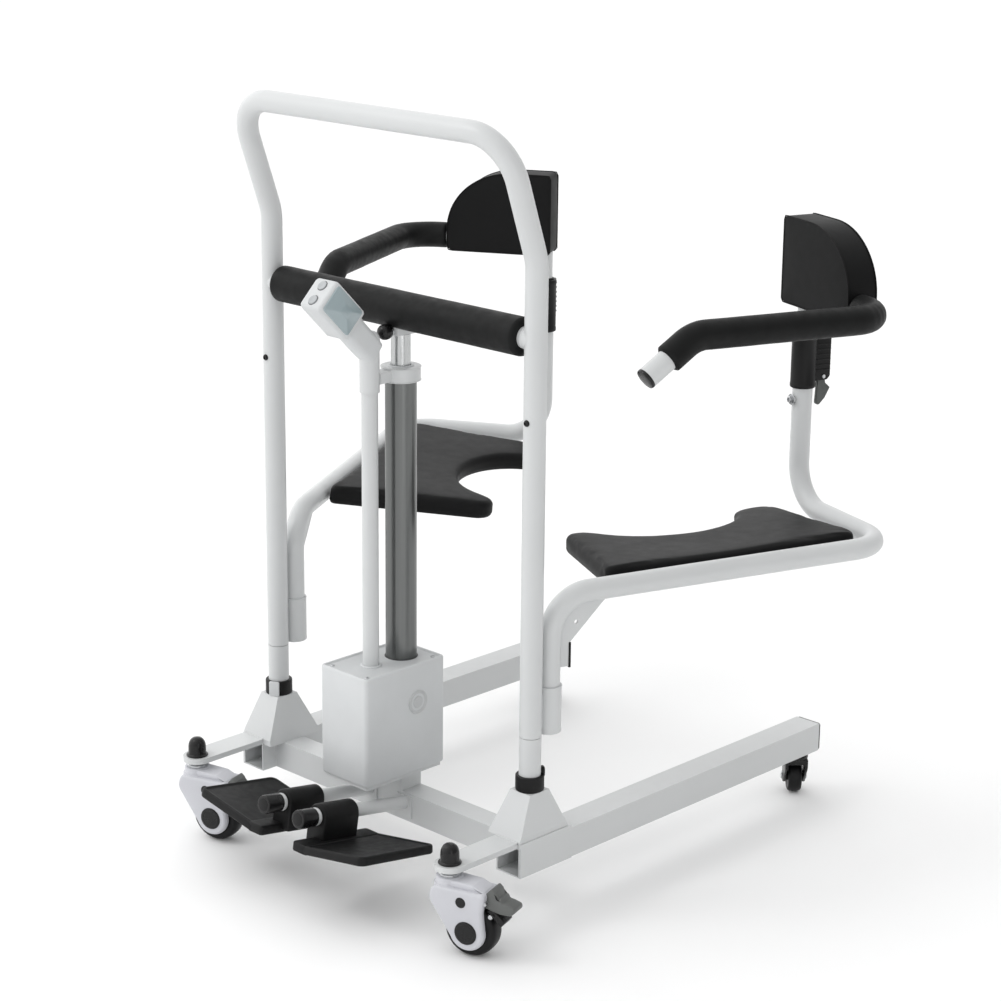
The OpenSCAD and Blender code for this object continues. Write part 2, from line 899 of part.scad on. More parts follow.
module rear_fork() {
    crown = leg_clearance - 9;
    difference() {
        union() {
            for (y = [-rear_half - 6, rear_half + 1])
                translate([0, y + 5, 0]) rotate([90, 0, 0]) linear_extrude(5)
                    polygon(concat(arc(rear_trail, rear_wheel_r, 9, 9, -120, 40, 8),
                        [[22, crown], [-14, crown], [-14, crown - 12]]));
            translate([-14, -rear_half - 6, crown - 8]) cube([36, 2 * rear_half + 12, 8]);
            translate([0, 0, crown]) cylinder(h = 8, r = 17);
            translate([0, 0, crown]) cylinder(h = 11, r = 5);
        }
        translate([rear_trail, 30, rear_wheel_r]) rotate([90, 0, 0]) cylinder(h = 60, r = 3.05);
    }
}

module rear_fork_left() {
    color(black) at_rear_caster(-1) rear_fork();
}

module rear_fork_right() {
    color(black) at_rear_caster(1) rear_fork();
}

module rear_wheel() {
    translate([rear_trail, 0, rear_wheel_r]) rotate([90, 0, 0]) {
        translate([0, 0, -11]) rotate_extrude()
            polygon([[0, 0], [rear_wheel_r - 3, 0], [rear_wheel_r, 4], [rear_wheel_r, 18],
                [rear_wheel_r - 3, 22], [0, 22]]);
        translate([0, 0, -19]) cylinder(h = 38, r = 3);
    }
}

module rear_wheel_left() {
    color(black) at_rear_caster(-1) rear_wheel();
}

module rear_wheel_right() {
    color(black) at_rear_caster(1) rear_wheel();
}

side_legs();
cross_beam();
gusset_sockets();
post_collars();
guide_posts();
leg_end_caps();
caster_plates();
stem_caps();
drive_housing();
battery_pack();
gear_motor();
lift_spindle();
column_tube();
ring_clip();
control_post();
control_neck();
control_head();
head_panels();
raise_button();
lower_button();
footrest_tubes();
pivot_caps();
footplate_left();
footplate_right();
handle_frame();
crossbar_tube();
crossbar_pad();
lift_rod();
rod_bracket();
pull_knob();
seat_sockets();
frame_screws();
seat_tube_left();
seat_tube_right();
seat_board_left();
seat_board_right();
seat_pad_left();
seat_pad_right();
latch_sleeve_left();
latch_sleeve_right();
latch_lever_left();
latch_lever_right();
arm_tube_left();
arm_tube_right();
arm_pad_left();
arm_pad_right();
arm_cap_left();
arm_cap_right();
back_pad_left();
back_pad_right();
caster_fork_left();
caster_fork_right();
front_wheel_left();
front_wheel_right();
brake_pedal_left();
brake_pedal_right();
rear_fork_left();
rear_fork_right();
rear_wheel_left();
rear_wheel_right();
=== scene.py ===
import math

import bmesh
import bpy
from mathutils import Matrix, Vector, geometry, noise


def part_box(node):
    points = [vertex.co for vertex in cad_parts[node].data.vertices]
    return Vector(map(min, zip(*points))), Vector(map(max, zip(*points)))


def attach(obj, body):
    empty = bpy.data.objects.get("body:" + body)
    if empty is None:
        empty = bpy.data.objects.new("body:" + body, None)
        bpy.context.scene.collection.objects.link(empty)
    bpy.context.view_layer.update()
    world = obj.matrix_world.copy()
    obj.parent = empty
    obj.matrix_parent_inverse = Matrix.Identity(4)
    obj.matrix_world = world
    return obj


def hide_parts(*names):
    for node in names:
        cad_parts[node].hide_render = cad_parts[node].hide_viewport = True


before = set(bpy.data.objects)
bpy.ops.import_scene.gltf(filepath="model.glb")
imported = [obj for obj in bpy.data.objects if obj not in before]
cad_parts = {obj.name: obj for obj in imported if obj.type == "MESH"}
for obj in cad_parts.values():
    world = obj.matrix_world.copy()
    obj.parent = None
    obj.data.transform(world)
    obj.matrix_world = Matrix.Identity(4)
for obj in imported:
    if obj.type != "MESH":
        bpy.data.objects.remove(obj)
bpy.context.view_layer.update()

# ---------------------------------------------------------------- frames
# Pieces are drawn in millimetres from the mid-plane of the lift, as in the CAD source.
MM = 0.001
RIGHT_OPEN, LEFT_OPEN = 19.0, 29.0
HINGE = (265.2, 34.5)
UPRIGHT_X = 264.0
COLUMN_Y, CONTROL_Y, BAR_Z = 6.0, -53.5, 820.0
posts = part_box("guide_posts")
ORIGIN = Vector(((posts[0].x + posts[1].x) / 2, (posts[0].y + posts[1].y) / 2, 0))
BASE = Matrix.Translation(ORIGIN) @ Matrix.Diagonal((MM, MM, MM, 1))
FLIP = Matrix.Diagonal((-1, 1, 1, 1))
SIDES = {"left": -1, "right": 1}


def at(x, y, z):
    return Matrix.Translation((x, y, z))


def turn(axis, degrees):
    return Matrix.Rotation(math.radians(degrees), 4, axis)


def seat_frame(side):
    """Right-hand seat half: x outward from its hinge, y back, z up."""
    angle = -RIGHT_OPEN if side > 0 else LEFT_OPEN
    m = BASE @ at(side * HINGE[0], HINGE[1], 0) @ turn("Z", angle)
    return m if side > 0 else m @ FLIP


def mirrored(side):
    return BASE if side > 0 else BASE @ FLIP


# ---------------------------------------------------------------- materials
class Paint:
    """A principled material with helpers for procedural detail in object space, metres."""

    def __init__(self, name, color, rough, **sockets):
        self.mat = bpy.data.materials.new(name)
        self.mat.use_nodes = True
        self.tree = self.mat.node_tree
        self.bsdf = self.tree.nodes["Principled BSDF"]
        self.bsdf.inputs["Base Color"].default_value = (*color, 1)
        self.bsdf.inputs["Roughness"].default_value = rough
        for key, value in sockets.items():
            self.bsdf.inputs[key.replace("_", " ")].default_value = value
        self.color, self.rough = color, rough
        self.coord = self.tree.nodes.new("ShaderNodeTexCoord").outputs["Object"]
        self.normal = None

    def node(self, kind, **inputs):
        n = self.tree.nodes.new(kind)
        for key, value in inputs.items():
            socket = n.inputs[key.replace("_", " ")]
            if isinstance(value, bpy.types.NodeSocket):
                self.tree.links.new(value, socket)
            else:
                socket.default_value = value
        return n

    def place(self, stretch):
        m = self.node("ShaderNodeMapping", Vector=self.coord)
        m.inputs["Scale"].default_value = stretch
        return m.outputs["Vector"]

    def noise(self, scale, detail=3.0, rough=0.5, stretch=None):
        vec = self.place(stretch) if stretch else self.coord
        return self.node("ShaderNodeTexNoise", Vector=vec, Scale=scale, Detail=detail,
                Roughness=rough).outputs["Fac"]

    def cells(self, scale, feature="DISTANCE_TO_EDGE", stretch=None):
        vec = self.place(stretch) if stretch else self.coord
        n = self.node("ShaderNodeTexVoronoi", Vector=vec, Scale=scale)
        n.feature = feature
        return n.outputs["Distance"]

    def remap(self, value, a, b, c, d):
        n = self.node("ShaderNodeMapRange", Value=value)
        for i, v in enumerate((a, b, c, d)):
            n.inputs[i + 1].default_value = v
        return n.outputs["Result"]

    def tint(self, value, low, high, a=0.35, b=0.65):
        """Base colour runs from low to high as value goes from a to b."""
        ramp = self.node("ShaderNodeValToRGB", Fac=value)
        e = ramp.color_ramp.elements
        e[0].position, e[1].position = a, b
        e[0].color, e[1].color = (*low, 1), (*high, 1)
        self.tree.links.new(ramp.outputs["Color"], self.bsdf.inputs["Base Color"])
        return self

    def polish(self, value, low, high, a=0.3, b=0.7):
        self.tree.links.new(self.remap(value, a, b, low, high), self.bsdf.inputs["Roughness"])
        return self

    def bump(self, height, strength, distance):
        n = self.node("ShaderNodeBump", Height=height, Strength=strength, Distance=distance)
        if self.normal:
            self.tree.links.new(self.normal, n.inputs["Normal"])
        self.normal = n.outputs["Normal"]
        self.tree.links.new(self.normal, self.bsdf.inputs["Normal"])
        return self


def shade(color, k):
    return tuple(min(1, c * k) for c in color)


def powder_coat(name, color, rough=0.36):
    p = Paint(name, color, rough, Coat_Weight=0.12, Coat_Roughness=0.25)
    p.tint(p.noise(7, 4), shade(color, 0.985), shade(color, 1.01))
    p.polish(p.noise(60, 4), rough - 0.05, rough + 0.09)
    p.bump(p.noise(900, 2), 0.12, 0.0003)
    return p.mat


def moulding(name, color, rough, grain=1300, depth=0.14, **extra):
    p = Paint(name, color, rough, **extra)
    p.tint(p.noise(14, 5), shade(color, 0.975), shade(color, 1.02))
    p.polish(p.noise(45, 4), rough - 0.04, rough + 0.06)
    p.bump(p.noise(grain, 3, 0.6), depth, 0.0004)
    return p.mat


def foam_skin(name, color, rough):
    p = Paint(name, color, rough, Sheen_Weight=0.006, Sheen_Roughness=0.45, Specular_IOR_Level=0.17)
    p.tint(p.noise(26, 5), shade(color, 0.85), shade(color, 1.2))
    p.polish(p.noise(80, 4), rough - 0.06, rough + 0.08)
    p.bump(p.cells(620, "F1"), 0.2, 0.0003)
    p.bump(p.noise(150, 4), 0.12, 0.0006)
    return p.mat


def leathercloth(name, color, rough):
    p = Paint(name, color, rough, Sheen_Weight=0.004, Sheen_Roughness=0.4, Specular_IOR_Level=0.16)
    p.tint(p.noise(18, 5), shade(color, 0.95), shade(color, 1.06))
    p.polish(p.noise(55, 4), rough - 0.02, rough + 0.03)
    p.bump(p.cells(720), 0.18, 0.0004)
    p.bump(p.noise(34, 4), 0.03, 0.0006)
    return p.mat


def brushed(name, color, rough, stretch, vary=0.12, **extra):
    p = Paint(name, color, rough, Metallic=1.0, **extra)
    lines = p.noise(1.0, 4, 0.6, stretch)
    p.tint(lines, shade(color, 1 - vary), shade(color, 1 + vary * 0.8))
    p.polish(lines, rough - vary * 0.5, rough + vary * 0.8)
    p.bump(lines, vary * 0.8, 0.0003)
    return p.mat


def rubber(name, color, rough):
    p = Paint(name, color, rough, Specular_IOR_Level=0.2)
    p.tint(p.noise(40, 5, 0.65), shade(color, 0.9), shade(color, 1.15))
    p.polish(p.noise(90, 4), rough - 0.04, rough + 0.06)
    p.bump(p.noise(700, 4, 0.6), 0.2, 0.0004)
    return p.mat


WHITE = powder_coat("frame_white", (0.60, 0.612, 0.615))
SHELL = moulding("shell_white", (0.6, 0.615, 0.622), 0.42, depth=0.08)
HOUSING = moulding("caster_shell", (0.56, 0.565, 0.6), 0.36, depth=0.06)
FOAM = foam_skin("foam_black", (0.0055, 0.0058, 0.0058), 0.54)
LEATHER = leathercloth("pad_black", (0.005, 0.0051, 0.0053), 0.54)
PIPING = leathercloth("piping_black", (0.005, 0.0051, 0.0051), 0.52)
BLACK = moulding("moulded_black", (0.0065, 0.0065, 0.0068), 0.44, depth=0.2, Specular_IOR_Level=0.22)
SATIN_BLACK = moulding("cap_black", (0.006, 0.006, 0.0063), 0.26, depth=0.1, Specular_IOR_Level=0.34)
MAT = rubber("foot_black", (0.006, 0.0061, 0.0063), 0.48)
TYRE = rubber("tyre_black", (0.008, 0.008, 0.0085), 0.4)
ALU = brushed("column_alu", (0.16, 0.165, 0.163), 0.3, (500, 500, 5), vary=0.04)
STEEL = brushed("steel_satin", (0.55, 0.56, 0.57), 0.3, (300, 300, 300))
ROD = brushed("rod_chrome", (0.5, 0.51, 0.51), 0.22, (500, 500, 40))
CAST = brushed("lever_cast", (0.11, 0.115, 0.112), 0.46, (160, 160, 160))
PEDAL = moulding("pedal_grey", (0.105, 0.11, 0.106), 0.4, depth=0.12)
PANEL = moulding("panel_blue", (0.33, 0.4, 0.42), 0.17, grain=90, depth=0.02, Coat_Weight=0.6,
        Coat_Roughness=0.08)
PORT_GREY = moulding("port_grey", (0.52, 0.53, 0.535), 0.44)
KEY = moulding("key_grey", (0.42, 0.44, 0.45), 0.4)
DARK = moulding("plug_dark", (0.07, 0.072, 0.075), 0.5)

CAD_FINISH = {
    WHITE: ["side_legs", "cross_beam", "gusset_sockets", "guide_posts", "caster_plates", "control_post",
            "footrest_tubes", "handle_frame", "crossbar_tube", "rod_bracket", "seat_sockets", "seat_tube",
            "arm_tube", "ring_clip"],
    SHELL: ["drive_housing", "control_neck", "control_head"],
    HOUSING: ["caster_fork"],
    FOAM: ["crossbar_pad", "arm_pad"],
    LEATHER: ["seat_pad", "back_pad"],
    BLACK: ["post_collars", "pivot_caps", "latch_sleeve", "seat_board", "rear_fork", "battery_pack"],
    SATIN_BLACK: ["stem_caps", "pull_knob", "arm_cap"],
    DARK: ["leg_end_caps"],
    MAT: ["footplate"],
    TYRE: ["front_wheel", "rear_wheel"],
    ALU: ["column_tube"],
    ROD: ["lift_rod"],
    STEEL: ["frame_screws", "gear_motor", "lift_spindle"],
    CAST: ["latch_lever"],
    PEDAL: ["brake_pedal"],
    PANEL: ["head_panels"],
    KEY: ["raise_button", "lower_button"],
}
finish_of = {name: mat for mat, names in CAD_FINISH.items() for name in names}
for name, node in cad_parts.items():
    short = name.replace("_left", "").replace("_right", "")
    node.data.materials.clear()
    node.data.materials.append(finish_of[short])
    for polygon in node.data.polygons:
        polygon.material_index = 0


# ---------------------------------------------------------------- mesh tools
def make(name, bm, matrix, mat, body, replaces=(), sharp=32, subdivide=0):
    """Turns a bmesh drawn in millimetres into a piece that rides on a body."""
    bm.transform(matrix)
    bmesh.ops.recalc_face_normals(bm, faces=bm.faces)
    for f in bm.faces:
        f.smooth = True
    for e in bm.edges:
        e.smooth = not (len(e.link_faces) == 2 and e.calc_face_angle(0) > math.radians(sharp))
    mesh = bpy.data.meshes.new(name)
    bm.to_mesh(mesh)
    bm.free()
    mesh.materials.append(mat)
    piece = bpy.data.objects.new(name, mesh)
    bpy.context.scene.collection.objects.link(piece)
    if subdivide:
        mod = piece.modifiers.new("smooth", "SUBSURF")
        mod.levels = mod.render_levels = subdivide
    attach(piece, body)
    if replaces:
        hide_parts(*replaces)
    return piece


def skin(rings, loop=False):
    """Joins rings of points with quads, and closes both ends unless they loop."""
    bm = bmesh.new()
    rows = [[bm.verts.new(p) for p in ring] for ring in rings]
    n = len(rows[0])
    last = len(rows) if loop else len(rows) - 1
    for i in range(last):
        a, b = rows[i], rows[(i + 1) % len(rows)]
        for j in range(n):
            k = (j + 1) % n
            bm.faces.new((a[j], a[k], b[k], b[j]))
    if not loop:
        bm.faces.new(list(reversed(rows[0])))
        bm.faces.new(rows[-1])
    return bm


def lathe(profile, n=64, loop=False):
    """Turns a list of (radius, height) about Z; a loop is a ring with a hole through it."""
    rings = []
    for r, z in profile:
        r = max(r, 0.01)
        rings.append([Vector((r * math.cos(2 * math.pi * k / n), r * math.sin(2 * math.pi * k / n), z))
                for k in range(n)])
    return skin(rings, loop=loop)


def sweep(points, radius, n=24, loop=False):
    """A round rod along points; radius is a number or a function of the distance along and the angle."""
    pts = [Vector(p) for p in points]
    count = len(pts)
    tangents = []
    for i in range(count):
        a = pts[(i - 1) % count] if loop or i else pts[i]
        b = pts[(i + 1) % count] if loop or i < count - 1 else pts[i]
        tangents.append((b - a).normalized())
    side = Vector((0, 0, 1)) if abs(tangents[0].z) < 0.9 else Vector((1, 0, 0))
    side = (side - tangents[0] * side.dot(tangents[0])).normalized()
    rings, run = [], 0.0
    for i in range(count):
        if i:
            run += (pts[i] - pts[i - 1]).length
            side = (tangents[i - 1].rotation_difference(tangents[i])) @ side
            side = (side - tangents[i] * side.dot(tangents[i])).normalized()
        other = tangents[i].cross(side)
        ring = []
        for k in range(n):
            a = 2 * math.pi * k / n
            r = radius(run, a) if callable(radius) else radius
            ring.append(pts[i] + side * (r * math.cos(a)) + other * (r * math.sin(a)))
        rings.append(ring)
    return skin(rings, loop=loop)


def moved(bm, *matrices):
    for m in matrices:
        bm.transform(m)
    return bm


def rounded(points, radii, seg=6):
    """A closed outline whose corners are rounded by radii, one number or one for each corner."""
    out, n = [], len(points)
    for i in range(n):
        p, a, b = Vector(points[i]), Vector(points[i - 1]), Vector(points[(i + 1) % n])
        r = radii[i] if isinstance(radii, (list, tuple)) else radii
        if r <= 0:
            out.append(p)
            continue
        u, v = (a - p).normalized(), (b - p).normalized()
        half = math.acos(max(-1, min(1, u.dot(v)))) / 2
        cut = min(r / math.tan(half), (a - p).length * 0.49, (b - p).length * 0.49)
        r = cut * math.tan(half)
        centre = p + (u + v).normalized() * (r / math.sin(half))
        start, end = p + u * cut - centre, p + v * cut - centre
        angle = math.atan2(start.x * end.y - start.y * end.x, start.dot(end))
        for k in range(seg + 1):
            t = angle * k / seg
            out.append(centre + Vector((start.x * math.cos(t) - start.y * math.sin(t),
                    start.x * math.sin(t) + start.y * math.cos(t))))
    return out


def inset(outline, d):
    """Moves a counter-clockwise outline inwards by d."""
    n, out = len(outline), []
    for i in range(n):
        a, p, b = outline[i - 1], outline[i], outline[(i + 1) % n]
        e1, e2 = (p - a), (b - p)
        e1 = e1.normalized() if e1.length > 1e-6 else (b - p).normalized()
        e2 = e2.normalized() if e2.length > 1e-6 else e1
        m = Vector((-(e1.y + e2.y), e1.x + e2.x))
        m = m.normalized() if m.length > 1e-6 else Vector((-e1.y, e1.x))
        k = max(0.5, m.dot(Vector((-e1.y, e1.x))))
        out.append(p + m * (d / k))
    return out


def ccw(outline):
    pts = [Vector(p) for p in outline]
    area = sum(pts[i - 1].x * pts[i].y - pts[i].x * pts[i - 1].y for i in range(len(pts)))
    return pts if area > 0 else list(reversed(pts))


def slab(outline, low, high, edge=1.5, seg=3, top_edge=None):
    """An outline pulled up from low to high, its rims rounded by edge."""
    top_edge = edge if top_edge is None else top_edge
    steps = []
    for k in range(seg + 1):
        t = math.pi / 2 * k / seg
        steps.append((edge * (1 - math.sin(t)), low + edge * (1 - math.cos(t))))
    for k in range(seg + 1):
        t = math.pi / 2 * k / seg
        steps.append((top_edge * (1 - math.cos(t)), high - top_edge * (1 - math.sin(t))))
    return stack(ccw(outline), steps)


def stack(outline, steps):
    """Pulls an outline up through (inset, height) steps."""
    return skin([[Vector((p.x, p.y, z)) for p in inset(outline, d)] for d, z in steps])


def arc(cx, cy, rx, ry, start, end, n=10):
    return [Vector((cx + rx * math.cos(math.radians(start + (end - start) * k / n)),
            cy + ry * math.sin(math.radians(start + (end - start) * k / n)))) for k in range(n + 1)]


def box_outline(x0, y0, x1, y1, r=0, seg=6):
    return rounded([(x0, y0), (x1, y0), (x1, y1), (x0, y1)], r, seg)


def tube_path(matrix, steps, spacing=4.0):
    """Centre line of a bent tube. A step is [straight, bend radius, bend angle, roll before it]."""
    pts = [matrix.translation.copy()]
    m = matrix.copy()
    for i, (length, radius, angle, roll) in enumerate(steps):
        count = max(2, round(length / spacing))
        for k in range(1, count + 1):
            pts.append(m @ Vector((0, 0, length * k / count)))
        m = m @ at(0, 0, length)
        if i + 1 < len(steps):
            m = m @ turn("Z", roll)
            count = max(6, round(radius * math.radians(angle) / 3))
            for k in range(1, count + 1):
                t = math.radians(angle * k / count)
                pts.append(m @ Vector((radius * (1 - math.cos(t)), 0, radius * math.sin(t))))
            t = math.radians(angle)
            m = m @ at(radius * (1 - math.cos(t)), 0, radius * math.sin(t)) @ turn("Y", angle)
    return pts, m


WELD_RIPPLE = 0.11


def weld(name, points, radius, matrix, body, loop=False):
    """A painted weld bead with the ripple of the torch."""
    def r(run, angle):
        return radius * (1 + WELD_RIPPLE * math.sin(run * 2.3))
    dense = []
    pts = [Vector(p) for p in points]
    pairs = list(zip(pts, pts[1:] + ([pts[0]] if loop else [])))
    for a, b in pairs if loop else pairs[: len(pts) - 1]:
        steps = max(1, round((b - a).length / 0.9))
        dense += [a.lerp(b, k / steps) for k in range(steps)]
    if not loop:
        dense.append(pts[-1])
    return make(name, sweep(dense, r, 8, loop=loop), matrix, WHITE, body, sharp=80)


def circle_points(r, z, n=40, start=0, end=360):
    return [Vector((r * math.cos(math.radians(start + (end - start) * k / n)),
            r * math.sin(math.radians(start + (end - start) * k / n)), z))
            for k in range(n if end - start >= 360 else n + 1)]


# ---------------------------------------------------------------- soft pads
def spaced(outline, spacing):
    """Points at even spacing round a closed outline."""
    pts = [Vector(p) for p in outline]
    lengths = [(pts[(i + 1) % len(pts)] - pts[i]).length for i in range(len(pts))]
    total = sum(lengths)
    count = round(total / spacing)
    out, i, run = [], 0, 0.0
    for k in range(count):
        goal = total * k / count
        while run + lengths[i] < goal:
            run += lengths[i]
            i += 1
        out.append(pts[i].lerp(pts[(i + 1) % len(pts)], (goal - run) / lengths[i]))
    return out


def inside(p, poly):
    hit = False
    for i in range(len(poly)):
        a, b = poly[i - 1], poly[i]
        if (a.y > p.y) != (b.y > p.y) and p.x < (b.x - a.x) * (p.y - a.y) / (b.y - a.y) + a.x:
            hit = not hit
    return hit


def near(p, poly):
    best = 1e9
    for i in range(len(poly)):
        a, b = poly[i - 1], poly[i]
        ab = b - a
        t = max(0, min(1, (p - a).dot(ab) / max(ab.length_squared, 1e-9)))
        best = min(best, (p - a - ab * t).length)
    return best


RIM_STEPS = (1.6, 3.6, 6.2, 9.2)


def cushion(name, outline, depth, spacing, pinned, cap, pressure):
    """Sews two panels and a side band, fills them with pressure, and returns the settled mesh and
    its two seams. pinned says how firmly a point is held, from its place and its distance to the
    outline, and no point moves further than cap."""
    ring = spaced(ccw(outline), spacing)
    n = len(ring)
    points = list(ring)
    for d in RIM_STEPS:
        points += inset(ring, d)
    xs, ys = [p.x for p in ring], [p.y for p in ring]
    step = spacing
    row, y = 0, min(ys)
    while y < max(ys):
        x = min(xs) + (row % 2) * step / 2
        while x < max(xs):
            p = Vector((x, y))
            if inside(p, ring) and near(p, ring) > RIM_STEPS[-1] + spacing * 0.5:
                points.append(p)
            x += step
        y += step * 0.866
        row += 1
    edges = [(i, (i + 1) % n) for i in range(n)]
    co, _, tris, _, _, _ = geometry.delaunay_2d_cdt([p.to_2d() for p in points], edges, [], 1, 1e-5)
    bm = bmesh.new()
    rows = max(2, round(depth / spacing))
    layers = []
    for k in range(rows + 1):
        z = -depth * k / rows
        layers.append([bm.verts.new((p.x, p.y, z)) for p in ring])
    top = layers[0] + [bm.verts.new((p.x, p.y, 0)) for p in co[n:]]
    bottom = layers[-1] + [bm.verts.new((p.x, p.y, -depth)) for p in co[n:]]
    for t in tris:
        bm.faces.new([top[i] for i in t])
        bm.faces.new([bottom[i] for i in reversed(t)])
    for a, b in zip(layers, layers[1:]):
        for j in range(n):
            k = (j + 1) % n
            bm.faces.new((b[j], b[k], a[k], a[j]))
    bmesh.ops.recalc_face_normals(bm, faces=bm.faces)
    bm.verts.ensure_lookup_table()
    rest = [v.co.copy() for v in bm.verts]
    weights = [pinned(p, near(p.to_2d(), ring)) for p in rest]
    mesh = bpy.data.meshes.new(name + "_sim")
    bm.to_mesh(mesh)
    mesh.transform(Matrix.Diagonal((MM, MM, MM, 1)))
    soft = bpy.data.objects.new(name + "_sim", mesh)
    bpy.context.scene.collection.objects.link(soft)
    group = soft.vertex_groups.new(name="held")
    for i, w in enumerate(weights):
        if w > 0:
            group.add([i], w, "REPLACE")
    mod = soft.modifiers.new("cloth", "CLOTH")
    s = mod.settings
    s.quality, s.mass = 6, 0.25
    s.tension_stiffness = s.compression_stiffness = 22
    s.shear_stiffness, s.bending_stiffness = 8, 0.6
    s.use_pressure, s.uniform_pressure_force = True, pressure
    s.vertex_group_mass, s.pin_stiffness = "held", 1.0
    s.effector_weights.gravity = 0
    mod.collision_settings.use_collision = False
    scene = bpy.context.scene
    mod.point_cache.frame_start, mod.point_cache.frame_end = 1, 20
    for f in range(1, 21):
        scene.frame_set(f)
        bpy.context.view_layer.update()
    settled = soft.evaluated_get(bpy.context.evaluated_depsgraph_get()).to_mesh()
    found = [v.co / MM for v in settled.vertices]
    scene.frame_set(1)
    bpy.data.objects.remove(soft)
    for v, a, b in zip(bm.verts, rest, found):
        d = Vector(b) - a
        far = d.length
        if far > 1e-6:
            d *= cap * math.tanh(far / cap) / far
        v.co = a + d
    return bm, [Vector((p.x, p.y, 0)) for p in ring], [Vector((p.x, p.y, -depth)) for p in ring]


# ---------------------------------------------------------------- seat pads
PAD_OUT, PAD_IN, PAD_REAR, PAD_TILT = 18.5, 266.0, 521.0, 5.4


def seat_outline(d):
    """Horseshoe outline, x inwards from the rail and y back from the hinge, inset by d."""
    tip, lobe = 30 - d, PAD_IN - 30
    pts = rounded([Vector((PAD_OUT + d, PAD_REAR - d)), Vector((PAD_OUT + d, 95 + d)),
            Vector((lobe, 150 + d))], [0, 9, 0], 5)[1:-1]
    pts += arc(lobe, 180, tip, tip, -76, 60, 9)
    pts += arc(272, 325, 98 + d, 122 + d, 249, 111, 22)
    pts += arc(lobe, 470, tip, tip, -50, 0, 4)
    pts += arc(lobe, PAD_REAR - 30, tip, tip, 4, 90, 8)
    pts += arc(PAD_OUT + d + 14, PAD_REAR - d - 14, 14, 14, 90, 180, 5)
    return pts


def hold_seat(p, edge):
    if p.z < -SEAT_DEPTH + 3.5:
        return 1.0
    return 0.35 if p.z < -SEAT_DEPTH + 9 else 0.0


def soften_rim(bm, depth, radius, ring, bottom_radius=None):
    """Pulls the rim of a panel in and down, so its edge is a roll and not a corner."""
    bottom_radius = radius if bottom_radius is None else bottom_radius
    for v in bm.verts:
        e = near(v.co.to_2d(), ring)
        for z, r, s in ((0, radius, -1), (-depth, bottom_radius, 1)):
            if r and e < r and abs(v.co.z - z) < r:
                t = 1 - e / r
                v.co.z += s * (r - math.sqrt(max(0, r * r - (t * r) ** 2))) * (1 - abs(v.co.z - z) / r)


SEAT_INSET, SEAT_DEPTH = 2.5, 26.0
seat_ring = [Vector(p) for p in seat_outline(SEAT_INSET)]
seat_bm, _, _ = cushion("seat", seat_outline(SEAT_INSET), SEAT_DEPTH, 7.0, hold_seat, 3.0, 4.0)
soften_rim(seat_bm, SEAT_DEPTH, 9.0, ccw(seat_ring), 7.0)
for v in seat_bm.verts:
    # foam settles in the middle of the half and rolls up a little towards the lobes
    x, y = v.co.x, v.co.y
    k = (v.co.z + SEAT_DEPTH) / SEAT_DEPTH
    v.co.z += k * (1.6 * math.cos((y - 310) / 215 * math.pi) * -1 - 0.6)
    v.co.z += k * 0.5 * noise.noise(Vector((x, y, 0)) * 0.014)

for side_name, side in SIDES.items():
    tilt = seat_frame(side) @ FLIP @ at(PAD_OUT, 0, 476.5) @ turn("Y", PAD_TILT) @ at(-PAD_OUT, 0, -1.6)
    pad = make("cushion_seat_" + side_name, seat_bm.copy(), tilt, LEATHER, "seat_" + side_name,
               ["seat_pad_" + side_name, "seat_board_" + side_name], sharp=180, subdivide=1)
seat_bm.free()

# ---------------------------------------------------------------- back pads
BACK_W, BACK_H, BACK_D, BACK_INNER, BACK_LOW, BACK_REAR = 180.0, 136.0, 54.0, 262.1, 770.0, 576.0
CORNER_X, CORNER_Z = 110.0, 98.0
BACK_INSET = 2.5
back_curve = arc(BACK_W - CORNER_X, BACK_H - CORNER_Z, CORNER_X - BACK_INSET, CORNER_Z - BACK_INSET, 0, 90,
        18)
back_shape = rounded(
    [(BACK_INSET, BACK_INSET), (BACK_W - BACK_INSET, BACK_INSET)] + [(p.x, p.y) for p in back_curve]
    + [(BACK_INSET, BACK_H - BACK_INSET)], [5, 5] + [0] * 19 + [5], 4)


def hold_back(p, edge):
    seam = edge < 0.6 and (abs(p.z) < 0.1 or abs(p.z + BACK_D - 5) < 0.1)
    return 0.92 if seam else 0.0


back_bm, back_front, back_rear = cushion("back", back_shape, BACK_D - 5, 7.0, hold_back, 4.5, 4.0)
for side_name, side in SIDES.items():
    place = (seat_frame(side) @ at(-BACK_INNER, BACK_REAR - BACK_D + 2.5, BACK_LOW) @ turn("X", 90))
    pad = make("cushion_back_" + side_name, back_bm.copy(), place, LEATHER, "arm_" + side_name,
               ["back_pad_" + side_name], sharp=180, subdivide=1)
    for tag, loop in (("front", back_front), ("rear", back_rear)):
        make("back_%s_welt_%s" % (tag, side_name), sweep([p.copy() for p in loop], 1.0, 8, loop=True),
             place, PIPING, "arm_" + side_name, sharp=180)
back_bm.free()

# ---------------------------------------------------------------- arm and cross bar padding
RAIL_LEN, REAR_RAIL, ARM_START, ARM_SIDE, BEND = 559.0, 243.6, 11.0, 12.0, 60.0
ARM_TURN, ARM_DIP, ARM_FORWARD, ARM_Z, ARM_RUN = 87.5, 35.5, 329.0, 794.0, 543.0
turn_cut = BEND * math.tan(math.radians(ARM_TURN / 2))
dip_cut = BEND * math.tan(math.radians(ARM_DIP / 2))
arm_lead = REAR_RAIL + ARM_START - (BACK_INNER - BACK_W) + 0.4


def arm_steps(lead, nose):
    return [[REAR_RAIL + ARM_START - ARM_SIDE - turn_cut - lead, BEND, ARM_TURN, -90],
            [ARM_FORWARD - turn_cut - dip_cut, BEND, ARM_DIP, 90], [nose - dip_cut, 0, 0, 0]]


